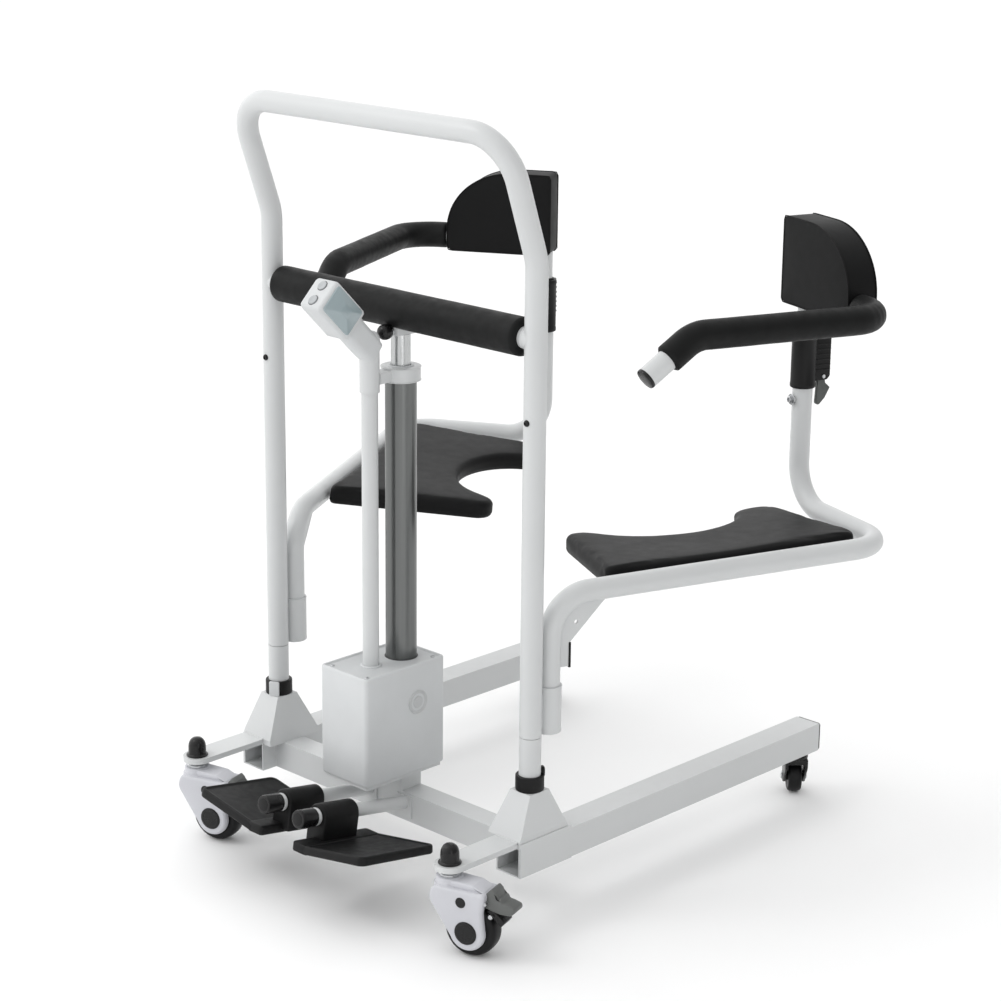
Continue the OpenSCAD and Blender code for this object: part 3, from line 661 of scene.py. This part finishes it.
ARM_FRAME = at(-REAR_RAIL - ARM_START, ARM_RUN, ARM_Z) @ turn("X", -1.2) @ turn("Y", 90)


def foam_radius(radius, length, bends, wrinkle=0.35):
    """Rounded ends, small creases on the inside of the bends and the softness of moulded foam."""
    def r(run, angle):
        end = min(run, length - run)
        value = radius
        if end < 4:
            value -= 4 - math.sqrt(max(0, 16 - (4 - end) ** 2))
        value += 0.22 * noise.noise(Vector((run * 0.03, math.cos(angle) * 0.8, math.sin(angle) * 0.8)))
        for middle, half, heading in bends:
            k = max(0, 1 - ((run - middle) / half) ** 2)
            inner = max(0, math.cos(angle - heading)) ** 2
            value -= wrinkle * k * inner * (1 + math.sin(run * 0.55))
        return value
    return r


for side_name, side in SIDES.items():
    path, _ = tube_path(ARM_FRAME @ at(0, 0, arm_lead), arm_steps(arm_lead, 52), 3.0)
    length = sum((b - a).length for a, b in zip(path, path[1:]))
    first = arm_steps(arm_lead, 52)[0][0]
    bend_len = BEND * math.radians(ARM_TURN)
    bends = [(first + bend_len / 2, bend_len * 0.45, -math.pi / 2)]
    foam = make("arm_foam_" + side_name, sweep(path, foam_radius(21, length, bends), 36), seat_frame(side),
                FOAM, "arm_" + side_name, ["arm_pad_" + side_name], sharp=180)

bar_points = [Vector((x, 0, BAR_Z)) for x in [-243 + 486 * k / 160 for k in range(161)]]
bar_bm = sweep(bar_points, foam_radius(26.5, 486, []), 48)
foam = make("cross_foam", bar_bm, BASE, FOAM, "lifting_frame", ["crossbar_pad"], sharp=180)

# ---------------------------------------------------------------- drive
bx, by, bf, bz, bh = 97.6, 154.7, -107.6, 148.0, 165.0
box_shape = rounded([(-bx / 2, bf), (bx / 2, bf), (bx / 2, bf + by), (-bx / 2, bf + by)], 7, 6)
shell = stack(ccw(box_shape), [
    (6, bz), (3.2, bz + 0.4), (1.2, bz + 1.6), (0, bz + 4), (0, bz + 60), (0, bz + bh - 60),
        (0, bz + bh - 3),
    (0.7, bz + bh - 1.1), (2.2, bz + bh - 0.2), (3.8, bz + bh - 0.3), (4.8, bz + bh - 1.4),
    (5.4, bz + bh - 2.6), (6.4, bz + bh - 3)])
make("housing_shell", shell, BASE, SHELL, "base", ["drive_housing"], sharp=50)
PORT = at(bx / 2, -7.4, 255) @ turn("Y", 90)
make("port_ring", lathe([(18, -2), (18, 0.5), (17.4, 1.3), (16.4, 1.5), (15.4, 1.1), (14.6, 0.2),
        (9, -0.4)]),
     BASE @ PORT, PORT_GREY, "base")
make("port_plug", lathe([(9, -1), (9, 0.6), (8.2, 1.2), (3, 1.4), (0, 1.4)], 40), BASE @ PORT, PORT_GREY,
     "base")
make("column_gasket", lathe([(24, 0), (24, 0.8), (23.6, 1.2), (23, 1.2), (22.7, 0.9), (22.7, 0)]),
     BASE @ at(0, COLUMN_Y, bz + bh - 3.2), DARK, "base")
make("post_gasket", lathe([(15.5, 0), (15.5, 1.2), (14.6, 2), (12.4, 2.2), (11.8, 1.6), (11.8, 0)]),
     BASE @ at(0, CONTROL_Y, bz + bh - 3.2), SHELL, "base")
for k, (x, y) in enumerate([(-36, bf + 13), (36, bf + 13), (-36, bf + by - 13), (36, bf + by - 13)]):
    make("lid_screw_%d" % k, lathe([(3.4, 0), (3.4, 0.7), (2.6, 1.4), (1.4, 1.5), (1.3, 0.8), (0, 0.8)],
            20),
         BASE @ at(x, y, bz + bh - 3), STEEL, "base")
make("beam_hole_rim", lathe([(4, -2), (4.1, 0.05), (4.6, 0.35), (5.4, 0.3), (5.8, -0.2)], 28),
     BASE @ at(-150, -2.5, 116.5), WHITE, "base")

# seal and lips where the rod leaves the ring clip
make("rod_seal", lathe([(18.5, 0), (18.5, 1.4), (17.6, 2.3), (15.6, 2.6), (14.4, 2.2), (14.2, 1)], 48),
     BASE @ at(0, COLUMN_Y, 738.8), SHELL, "base")
for tag, z in (("low", 718.6), ("high", 737.4)):
    make("clip_lip_" + tag, lathe([(27.2, 0), (28.6, 0.5), (28.9, 1), (28.6, 1.5), (27.2, 2)], 64),
         BASE @ at(0, COLUMN_Y, z), WHITE, "base")

# ---------------------------------------------------------------- control
NECK = BASE @ at(0, CONTROL_Y, 770) @ turn("X", 45)
HEAD = NECK @ at(0, 0, 62)
HL, HW, HT = 70, 44, 50
head_shape = ccw(box_outline(-HW / 2, -HT / 2, HW / 2, HT / 2, 7))
shell = stack(head_shape, [
    (6, -1.5), (2.5, -1.3), (0.8, -0.3), (0, 1.6), (0, 20), (0, HL - 9), (0.4, HL - 4.5), (1.6, HL - 1.9),
    (3.6, HL - 0.5), (6, HL)])
make("head_shell", shell, HEAD, SHELL, "base", ["control_head"], sharp=50)
neck_steps = [(30, 34, 9, -3), (31, 35, 9, 2), (32, 36, 9, 12), (32, 36, 9, 46), (34, 38, 9, 55),
        (38, 42, 9, 60), (40, 45, 9, 61.4)]
shell = skin([[Vector((p.x, p.y, z)) for p in box_outline(-w / 2, -t / 2, w / 2, t / 2, r)]
        for w, t, r, z in neck_steps])
make("neck_shell", shell, NECK, SHELL, "base", ["control_neck"], sharp=50)
make("neck_root", lathe([(14.1, -1), (14.6, -0.4), (14.8, 1), (14.8, 12), (14, 18), (12, 23), (8.5, 26)],
        56),
     BASE @ at(0, CONTROL_Y, 770), SHELL, "base")
for side_name, side in SIDES.items():
    panel = HEAD @ at(side * HW / 2, 0, HL / 2) @ turn("Y", 90 * side)
    outline = ccw(box_outline(-(HL - 9) / 2, -(HT - 9) / 2, (HL - 9) / 2, (HT - 9) / 2, 4, 4))
    rings = [[Vector((p.x * k, p.y * k, z)) for p in outline] for k, z in
             [(1, -1), (1, 0.9), (0.975, 1.6), (0.93, 2.0), (0.42, 6.8), (0.36, 7.3), (0.28, 7.6),
              (0.05, 7.8)]]
    # the raised middle of the panel runs along its diagonals
    for ring, k in zip(rings, [0, 0, 0, 0, 0.9, 1, 1, 1]):
        for p in ring:
            p.x = p.x * (1 - 0.15 * k)
    make("head_panel_" + side_name, skin(rings), panel, PANEL, "base",
         ["head_panels"] if side > 0 else [], sharp=24)
for tag, y in (("raise", 12), ("lower", -12)):
    make(tag + "_key", lathe([(7, -5), (7, 1.2), (6.6, 1.8), (5.4, 2.1), (3.5, 1.6), (0, 1.3)], 40), HEAD
         @ at(0, y, HL), KEY, tag + "_key", [tag + "_button"])
    make(tag + "_bezel", lathe([(7.2, -2), (7.2, 0.25), (7.7, 0.4), (8.1, -0.2), (8.1, -2)], 40,
            loop=True), HEAD @ at(0, y, HL),
         DARK, "base")

# ---------------------------------------------------------------- front casters
STEM = (267.8, -158.4)
TRAIL, WHEEL_R, YAW_FRONT = 37.0, 38.5, 17.0
hood_shape = rounded([(p.x, p.y) for p in arc(TRAIL, WHEEL_R, 26.5, 26.5, -157, 14, 26)]
        + [(60, 70), (64.5, 98), (-15, 98), (-23, 80)], [0] * 27 + [14, 5, 9, 24], 6)


def boolean(bm, cutter, operation="DIFFERENCE"):
    """Applies one exact boolean between two closed bmeshes, in millimetres."""
    objects = []
    for b in (bm, cutter):
        bmesh.ops.recalc_face_normals(b, faces=b.faces)
        mesh = bpy.data.meshes.new("tmp")
        b.to_mesh(mesh)
        b.free()
        o = bpy.data.objects.new("tmp", mesh)
        bpy.context.scene.collection.objects.link(o)
        objects.append(o)
    mod = objects[0].modifiers.new("cut", "BOOLEAN")
    mod.operation, mod.object, mod.solver = operation, objects[1], "EXACT"
    bpy.context.view_layer.update()
    result = objects[0].evaluated_get(bpy.context.evaluated_depsgraph_get()).to_mesh()
    out = bmesh.new()
    out.from_mesh(result)
    for o in objects:
        bpy.data.objects.remove(o)
    return out


XZ = turn("X", 90)
hood = moved(slab(hood_shape, -24, 24, edge=5, seg=5), XZ)
well = moved(lathe([(41, -15.4), (41, 15.4)], 72), at(TRAIL, 0, WHEEL_R) @ XZ)
hood = boolean(hood, well)
mouth = moved(slab([(50, 20), (90, 20), (90, 83), (62, 83), (50, 74)], -15.4, 15.4, edge=1), XZ)
hood = boolean(hood, mouth)
for side_name, side in SIDES.items():
    stem = BASE @ at(side * STEM[0], STEM[1], 0) @ turn("Z", YAW_FRONT)
    fork_body, wheel_body, pedal_body = ("front_fork_" + side_name, "front_wheel_" + side_name, "pedal_"
            + side_name)
    make("caster_hood_" + side_name, hood.copy(), stem, HOUSING, fork_body,
         ["caster_fork_" + side_name], sharp=42)
    make("caster_collar_" + side_name,
         lathe([(21.5, 94), (21.5, 97.6), (20.9, 98.6), (19.6, 99), (19.2, 100),
         (19, 106.4), (18.4, 107.6), (17, 108.2), (15.2, 108.4), (6, 108.4)]), stem, HOUSING, fork_body)
    block = moved(slab(rounded([(4, 96), (4, 107.5), (44, 105.5), (60, 98.5), (60, 96)], [0, 0, 5, 2, 0],
            4), -16.5, 16.5, edge=2.5), XZ)
    make("caster_shoulder_" + side_name, block, stem, HOUSING, fork_body)
    make("swivel_ring_" + side_name,
         lathe([(15.4, 108), (15.8, 108.8), (15.8, 111.6), (15, 112.6), (13, 113),
         (12.6, 113.6), (12.6, 116.2), (6, 116.4)]), stem, STEEL, fork_body)
    make("swivel_stem_" + side_name, lathe([(6, 113), (6, 124.4), (5, 125)], 32), stem, STEEL, fork_body)
    for k in (-1, 1):
        make("caster_plug_%s_%d" % (side_name, k + 1),
             lathe([(7.6, -1), (7.6, 0.2), (7.1, 0.8), (5, 1.1), (0, 1.3)], 32),
             stem @ at(29, 24 * k, 81.5) @ turn("X", -90 * k), SATIN_BLACK, fork_body)
    pins = moved(lathe([(2.6, -19), (3.2, -18.4), (3.2, 18.4), (2.6, 19)], 24), at(62, 0, 84) @ XZ)
    make("roller_upper_" + side_name, pins, stem, STEEL, fork_body)
    pins = moved(lathe([(2.6, -17), (3.3, -16.4), (3.3, 16.4), (2.6, 17)], 24), at(70, 0, 66) @ XZ)
    make("roller_lower_" + side_name, pins, stem, STEEL, fork_body)
    shoe = moved(slab(rounded([(60, 72), (72, 76), (90, 60), (84, 52), (70, 66)], 2, 3), -12, 12, edge=1),
            XZ)
    make("brake_shoe_" + side_name, shoe, stem, SATIN_BLACK, fork_body)
    tyre = moved(lathe([(17, -13.2), (24, -13.4), (30, -14), (34, -13.4), (36.6, -11.4), (38, -8),
            (38.4, -4), (38.5, 0),
            (38.4, 4), (38, 8), (36.6, 11.4), (34, 13.4), (30, 14), (24, 13.4), (17, 13.2)], 96),
            at(TRAIL, 0, WHEEL_R) @ XZ)
    make("caster_tyre_" + side_name, tyre, stem, TYRE, wheel_body, ["front_wheel_" + side_name], sharp=60)
    axle = moved(lathe([(5, -25), (5, 25)], 32), at(TRAIL, 0, WHEEL_R) @ XZ)
    make("caster_axle_" + side_name, axle, stem, STEEL, wheel_body)
    for k in (-1, 1):
        cap = lathe([(16.4, 0), (16.6, 0.6), (16.2, 1.5), (15, 2.1), (12.5, 2.4), (12, 2.1), (5, 2.5),
                (0, 2.6)], 56)
        make("hub_cap_%s_%d" % (side_name, k + 1), cap, stem @ at(TRAIL, 23.6 * k, WHEEL_R)
             @ turn("X", -90 * k), SATIN_BLACK, wheel_body)
    pedal = moved(slab(rounded([(-7, -4), (8, -9), (28, -13), (44, -12), (50, -6), (49, 0), (38, 3),
            (31, 4), (29, 9), (24, 9), (21, 17), (15, 22), (9, 16), (0, 6), (-7, 4)],
            [3, 4, 8, 8, 5, 4, 5, 3, 1.5, 2, 2, 2.5, 4, 4, 3], 4), -13, 13, edge=2.2), at(55, 0, 84) @ XZ)
    make("brake_lever_" + side_name, pedal, stem, PEDAL, pedal_body, ["brake_pedal_" + side_name])
    make("stem_dome_" + side_name,
         lathe([(15.6, 0), (16.2, 0.6), (16, 1.8), (14, 2.6), (13.2, 3.4), (13.1, 12), (12.9, 16),
         (11.9, 20.4), (9.8, 24.2), (6.8, 26.8), (3.4, 28), (0, 28.3)]), BASE
         @ at(side * STEM[0], STEM[1], 124.5), SATIN_BLACK, "base", ["stem_caps"] if side > 0 else [])
hood.free()

# ---------------------------------------------------------------- rear casters
REAR = (270.0, 598.0)
R_TRAIL, R_R, R_YAW = 18.0, 25.0, 135.0
for side_name, side in SIDES.items():
    stem = BASE @ at(side * REAR[0], REAR[1], 0) @ turn("Z", R_YAW)
    fork, wheel = "rear_fork_" + side_name, "rear_wheel_" + side_name
    for k in (-1, 1):
        cheek = moved(slab(rounded([(p.x, p.y) for p in arc(R_TRAIL, R_R, 10.5, 10.5, -125, 45, 14)]
                + [(25, 63), (-15, 63), (-15, 48)], [0] * 15 + [6, 4, 8], 5), 12.8, 17.6, edge=1.6),
                turn("X", 90) if k > 0 else turn("X", 90) @ Matrix.Diagonal((1, 1, -1, 1)))
        make("rear_cheek_%s_%d" % (side_name, k + 1), cheek, stem, SATIN_BLACK, fork,
             ["rear_fork_" + side_name] if k > 0 else [])
        nut = lathe([(6, 0), (6, 1.6), (5.2, 2.6), (2.5, 2.8), (0, 2.8)], 6)
        make("rear_nut_%s_%d" % (side_name, k + 1), nut, stem @ at(R_TRAIL, 17.5 * k, R_R)
             @ turn("X", -90 * k), STEEL, wheel, sharp=20)
    crown = slab(rounded([(-15, -17.6), (25, -17.6), (25, 17.6), (-15, 17.6)], 7, 6), 53.5, 63.5, edge=2.2)
    make("rear_crown_" + side_name, crown, stem, SATIN_BLACK, fork)
    make("rear_swivel_" + side_name,
         lathe([(17, 63), (18.6, 63.8), (18.8, 66.6), (18, 69), (16.6, 69.6), (16.4, 71.6),
         (10, 72.2)], 56), stem, SATIN_BLACK, fork)
    tyre = moved(lathe([(7, -8.6), (13, -8.8), (17, -9.8), (21.4, -10.6), (23.6, -9.4), (24.7, -6.6),
            (25, -3), (25, 3), (24.7, 6.6), (23.6, 9.4), (21.4, 10.6), (17, 9.8), (13, 8.8), (7, 8.6)], 72),
            at(R_TRAIL, 0, R_R) @ XZ)
    make("rear_tyre_" + side_name, tyre, stem, TYRE, wheel, ["rear_wheel_" + side_name], sharp=60)
    hub = moved(lathe([(3, -12.6), (8, -12.6), (8, -8), (8, 8), (8, 12.6), (3, 12.6)], 32),
                at(R_TRAIL, 0, R_R) @ XZ)
    make("rear_hub_" + side_name, hub, stem, BLACK, wheel)

# ---------------------------------------------------------------- footrest
FOOT = at(36.4, -197.6, 130.8) @ turn("X", -9.5)
for side_name, side in SIDES.items():
    foot = mirrored(side) @ FOOT
    body = "footplate_" + side_name
    plate_shape = rounded([(0, 0), (121.5, 0), (121.5, 142), (0, 142)], [2, 11, 11, 2], 6)
    tray = stack(ccw(plate_shape), [
        (5, -0.2), (2, 0.1), (0.5, 1.2), (0, 3), (0, 9.5), (0.5, 11.6), (1.6, 12.7), (3.2, 13.1),
        (4.6, 12.8), (5.6, 12), (7, 11.5), (10, 11.4)])
    make("foot_tray_" + side_name, tray, foot @ at(18, -32, -45) @ turn("Y", -9), MAT, body,
         ["footplate_" + side_name], sharp=50)
    make("foot_web_" + side_name, slab(rounded([(-4, -32), (26, -32), (26, 110), (-4, 110)], 5, 4), -45,
            -31, edge=2.5),
         foot, MAT, body)
    make("foot_cheek_" + side_name, slab(rounded([(-18, 6), (18, 6), (18, 72), (-18, 72)], 3, 3), -40, 2,
            edge=2), foot,
         MAT, body)
    barrel = moved(lathe([(10.4, 6), (14, 6), (16.6, 6.8), (17.8, 8.6), (18, 11), (18, 67), (17.8, 69.4),
            (16.6, 71.2), (14, 72), (10.4, 72)], 64), turn("X", -90))
    make("foot_barrel_" + side_name, barrel, foot, MAT, body)
    cap = moved(lathe([(9.4, -30), (11.4, -30), (12.8, -29.4), (13.4, -28), (13.5, -26), (13.5, -3),
            (13.1, -1.6), (12, -1), (10.2, -1)], 56), turn("X", -90))
    make("foot_endcap_" + side_name, cap, foot, SATIN_BLACK, "base", ["pivot_caps"] if side > 0 else [])
    plug = lathe([(9.6, 0), (9, 0.9), (5, 1.5), (0, 1.6)], 40)
    make("foot_endplug_" + side_name, plug, foot @ at(0, -29.4, 0) @ turn("X", 90), BLACK, "base")
    ring = moved(lathe([(10, -0.4), (12, -0.2), (12.8, 0.8), (12.9, 2.5), (12.8, 4.2), (12, 5.2),
            (10, 5.4)], 56), turn("X", -90))
    make("foot_collar_" + side_name, ring, foot, WHITE, "base")

# ---------------------------------------------------------------- seat halves, hardware
POST = at(-REAR_RAIL, RAIL_LEN, 0)
LATCH = at(-REAR_RAIL, 590, 655)
BOLT_Z = 622
for side_name, side in SIDES.items():
    seat, arm, lever = "seat_" + side_name, "arm_" + side_name, "lever_" + side_name
    local = seat_frame(side)
    # rubber stop strip on the sloping edge of the gusset
    strip = moved(slab(rounded([(28.8, 350), (32.2, 350), (32.2, 387), (28.8, 387)], 1.2, 3), -3.4, 3.4,
            edge=1), turn("Z", 90) @ turn("X", 90))
    make("stop_strip_" + side_name, strip, local, BLACK, seat)
    for k in (-1, 1):
        bead = [Vector((2.1 * k, 15.2, z)) for z in (353, 364, 375, 386, 394)]
        bead += [Vector((2.1 * k, 60 - 44.2 * math.cos(math.radians(t)), 397.5
                + 44.2 * math.sin(math.radians(t))))
                 for t in range(0, 91, 6)]
        bead += [Vector((2.1 * k, y, 441.8)) for y in (66, 72, 78, 83)]
        weld("gusset_weld_%s_%d" % (side_name, k + 1), bead, 1.5, local, seat)
    # height bolt with washer
    make("bolt_head_" + side_name,
         lathe([(5.6, 0), (5.6, 3.4), (4.9, 4.4), (3.2, 4.6), (2.9, 2.8), (0, 2.8)], 6),
         local @ at(-REAR_RAIL, RAIL_LEN - 20, BOLT_Z) @ turn("X", 90), STEEL, seat, sharp=20)
    make("bolt_washer_" + side_name, lathe([(8.6, 0), (8.8, 0.5), (8.4, 1.1), (5, 1.2)], 36),
         local @ at(-REAR_RAIL, RAIL_LEN - 18.9, BOLT_Z) @ turn("X", 90), STEEL, seat)
    # latch sleeve: collar, ribbed bracket and lever
    sleeve = lathe([(16, 640), (18.4, 640), (19.3, 640.8), (19.6, 642), (19.6, 646), (19.1, 647),
            (19.1, 719), (19.6, 720), (19.6, 724.6), (18.8, 726.4), (17, 727.2), (13, 727.2)], 64)
    make("sleeve_shell_" + side_name, sleeve, local @ POST, BLACK, seat, ["latch_sleeve_" + side_name])
    for k in (-1, 1):
        ear = moved(slab(rounded([(13, 649), (38, 649), (43, 655), (43, 722), (13, 726)], [1, 7, 5, 6, 1],
                4), 4.6, 9.4, edge=1.2), turn("Z", 90) @ turn("X",
                        90) if k > 0 else Matrix.Diagonal((-1, 1, 1, 1)) @ turn("Z", 90)
                @ turn("X", 90))
        make("sleeve_ear_%s_%d" % (side_name, k + 1), ear, local @ POST, BLACK, seat)
    make("sleeve_block_" + side_name, slab(rounded([(-5, 12), (5, 12), (5, 41.5), (-5, 41.5)], 1.5, 3),
            670, 723, edge=1.5),
         local @ POST, BLACK, seat)
    for k in range(7):
        rib = slab(rounded([(-10.2, 15), (10.2, 15), (10.2, 43.6), (-10.2, 43.6)], [1, 3, 3, 1], 4), 664
                   + 8 * k, 667.2 + 8 * k, edge=1)
        make("sleeve_rib_%s_%d" % (side_name, k), rib, local @ POST, BLACK, seat)
    blade = moved(slab(rounded([(-6, 6), (6, 6), (8, -12), (17, -20), (8, -36), (-8, -52), (-6, -20)],
            [5, 5, 3, 2, 6, 4, 5], 5), -3.6, 3.6, edge=1.3), turn("Z", 90) @ turn("X", 90))
    make("latch_blade_" + side_name, blade, local @ LATCH, CAST, lever,
         ["latch_lever_" + side_name])
    pin = moved(lathe([(2.4, -11.2), (3, -10.6), (3, 10.6), (2.4, 11.2)], 24), turn("Y", 90))
    make("latch_pin_" + side_name, pin, local @ LATCH, STEEL, lever)
    # end plug of the arm tube
    _, nose = tube_path(ARM_FRAME, arm_steps(0, 90), 6)
    make("arm_plug_" + side_name,
         lathe([(13.8, -10), (13.8, -0.2), (15.3, -0.1), (15.6, 0.6), (15.5, 3), (14.8, 4.4),
         (13, 5), (6, 5.3), (0, 5.4)], 56), local @ nose, SATIN_BLACK, arm, ["arm_cap_" + side_name])
    # rings where the padding stops
    make("mast_gland_" + side_name,
         lathe([(12.6, 727), (15.2, 727.2), (15.6, 728), (15.2, 729.4), (13.4, 730), (12.6, 730)],
         48), local @ POST, BLACK, seat)
    # socket lip and washer at the hinge
    make("hinge_lip_" + side_name,
         lathe([(15.7, 327.6), (17.8, 327.7), (18.4, 328.3), (18.2, 329.2), (16.6, 329.7),
         (15.7, 329.6)], 56), mirrored(side) @ at(HINGE[0], HINGE[1], 0), SHELL, "lifting_frame")
    make("hinge_foot_" + side_name,
         lathe([(0, 260.4), (14, 260.4), (17, 260.9), (18.3, 262.2), (18.3, 264)], 56),
         mirrored(side) @ at(HINGE[0], HINGE[1], 0), WHITE, "lifting_frame")
    screw = lathe([(4.6, -1), (4.6, 0.6), (3.8, 2), (2.2, 2.6), (2, 1.4), (0, 1.4)], 28)
    make("frame_screw_head_" + side_name, screw, mirrored(side) @ at(UPRIGHT_X, -15.6, 709)
         @ turn("X", 90), SATIN_BLACK,
         "lifting_frame", ["frame_screws"] if side > 0 else [])
    # collar on the upright, with its raised tab
    ring_shape = lathe([(15.6, 184), (19.4, 184), (20, 184.8), (20.2, 186.4), (20.2, 203.6), (20, 205.2),
            (19.2, 206), (15.6, 206)], 64)
    make("post_collar_" + side_name, ring_shape, mirrored(side) @ at(UPRIGHT_X, 0, 0), BLACK, "base",
         ["post_collars"] if side > 0 else [])
    tab = moved(slab(rounded([(-6, 0), (6, 0), (6, 13), (-6, 13)], [1, 1, 4, 4], 4), 16.2, 20.4, edge=1),
                turn("X", 90))
    make("collar_tab_" + side_name, tab, mirrored(side) @ at(UPRIGHT_X, 0, 203) @ turn("Z", 150), BLACK,
         "base")
    # welded seams where the pyramid meets the leg, the beam and the plate
    flat = mirrored(side)
    weld("socket_weld_" + side_name, circle_points(16.4, 184.2, 48), 1.2, flat @ at(UPRIGHT_X, 0, 0),
         "base", loop=True)
    weld("plate_weld_a_" + side_name, [(246.8 + 42 * k / 8, -48.4, 124.4) for k in range(9)], 1.6, flat,
         "base")
    weld("beam_weld_top_" + side_name, [(248.2, -21 + 37 * k / 10, 116.6) for k in range(11)], 1.4, flat,
         "base")
    weld("beam_weld_front_" + side_name, [(248.2, -21.6, 73 + 43 * k / 10) for k in range(11)], 1.4, flat,
         "base")
    # rear end cap
    cap = slab(rounded([(-22, -22), (22, -22), (22, 22), (-22, 22)], 4, 5), 0, 4, edge=0.3, top_edge=1.8)
    make("leg_cap_" + side_name, cap, flat @ at(270, 625, 94.5) @ turn("X", -90), DARK, "base",
         ["leg_end_caps"] if side > 0 else [])

# white clip on the left-hand collar
clip = moved(slab(rounded([(-8, 184), (8, 184), (8, 207), (-8, 207)], 2, 3), 18.6, 21.6, edge=0.8),
        turn("X", 90))
make("collar_clip", clip, mirrored(-1) @ at(UPRIGHT_X, 0, 0) @ turn("Z", -28), SHELL, "base")

# ---------------------------------------------------------------- lifting frame details
for side_name, side in SIDES.items():
    for k, sign in enumerate((-1, 1)):
        weld("bar_weld_%s_%d" % (side_name, k),
             [(UPRIGHT_X - 15.6, 14.6 * math.cos(t), BAR_Z + 14.6 * math.sin(t)) for t in
             [math.pi * j / 14 + (math.pi if sign < 0 else 0) for j in range(15)]], 1.3, mirrored(side),
             "lifting_frame")
KNOB_Z = 791.0
make("knob_ball", lathe([(3.4, -14), (4, -13.4), (4, 18.6), (6.2, 20), (7.4, 21.6), (9.4, 23.2), (10.8, 27),
     (11.1, 30.4), (10.4, 34.4), (8.2, 38), (4.6, 40.3), (0, 41)], 40), BASE @ at(0, COLUMN_Y, KNOB_Z)
     @ turn("X", 90), SATIN_BLACK,
     "knob", ["pull_knob"])
make("knob_collar", lathe([(4.1, 0), (6.6, 0.2), (7, 1), (6.6, 2.2), (4.1, 2.4)], 32),
     BASE @ at(0, -12.2, KNOB_Z) @ turn("X", 90), STEEL, "lifting_frame")

# ---------------------------------------------------------------- stage
floor_bm = bmesh.new()
bmesh.ops.create_grid(floor_bm, x_segments=1, y_segments=1, size=60)
floor_mesh = bpy.data.meshes.new("floor")
floor_bm.to_mesh(floor_mesh)
floor_bm.free()
floor = bpy.data.objects.new("floor", floor_mesh)
floor.location.z = -0.0005
bpy.context.scene.collection.objects.link(floor)
floor_paint = Paint("floor_pale", (0.95, 0.95, 0.95), 0.95)
floor_mesh.materials.append(floor_paint.mat)

world = bpy.data.worlds.new("studio")
bpy.context.scene.world = world
world.use_nodes = True
wt = world.node_tree


def world_node(kind, *values):
    n = wt.nodes.new(kind)
    for i, v in enumerate(values):
        if isinstance(v, bpy.types.NodeSocket):
            wt.links.new(v, n.inputs[i])
        elif v is not None:
            n.inputs[i].default_value = v
    return n


# A soft studio: bright above and to the left, dimmer to the right.
direction = world_node("ShaderNodeTexCoord").outputs["Generated"]
lean = world_node("ShaderNodeVectorMath", direction, (-0.61, -0.14, 0.3))
lean.operation = "DOT_PRODUCT"
glow = world_node("ShaderNodeMath", lean.outputs["Value"], 0.9)
wt.nodes["Background"].inputs["Color"].default_value = (1, 1, 1, 1)
wt.links.new(glow.outputs["Value"], wt.nodes["Background"].inputs["Strength"])


def lamp(name, where, target, size, power):
    data = bpy.data.lights.new(name, "AREA")
    data.shape, data.size, data.size_y, data.energy = "RECTANGLE", size[0], size[1], power
    o = bpy.data.objects.new(name, data)
    o.location = where
    o.rotation_euler = (Vector(target) - Vector(where)).to_track_quat("-Z", "Y").to_euler()
    bpy.context.scene.collection.objects.link(o)


lamp("key", (-1.6, -2.4, 3.4), (0, 0, 0.5), (1.1, 1.1), 18)
lamp("strip", (3.55, -1.9, 0.9), (0.04, -0.2, 0.6), (0.3, 2.2), 10)

# ---------------------------------------------------------------- camera
FOCAL, ROLL = 90.51, math.radians(0.591)
eye = Vector((2.48266, -2.35017, 1.54890)) + ORIGIN
forward = Vector((-0.66814, 0.68855, -0.28192)).normalized()
flat_right = forward.cross(Vector((0, 0, 1))).normalized()
flat_up = flat_right.cross(forward)
right = flat_right * math.cos(ROLL) + flat_up * math.sin(ROLL)
up = flat_up * math.cos(ROLL) - flat_right * math.sin(ROLL)
cam_data = bpy.data.cameras.new("camera")
cam_data.lens, cam_data.sensor_width = FOCAL, 36.0
camera = bpy.data.objects.new("camera", cam_data)
camera.matrix_world = Matrix((
    (right.x, up.x, -forward.x, eye.x),
    (right.y, up.y, -forward.y, eye.y),
    (right.z, up.z, -forward.z, eye.z),
    (0, 0, 0, 1)))
bpy.context.scene.collection.objects.link(camera)
bpy.context.scene.camera = camera
bpy.context.scene.view_settings.view_transform = "Standard"
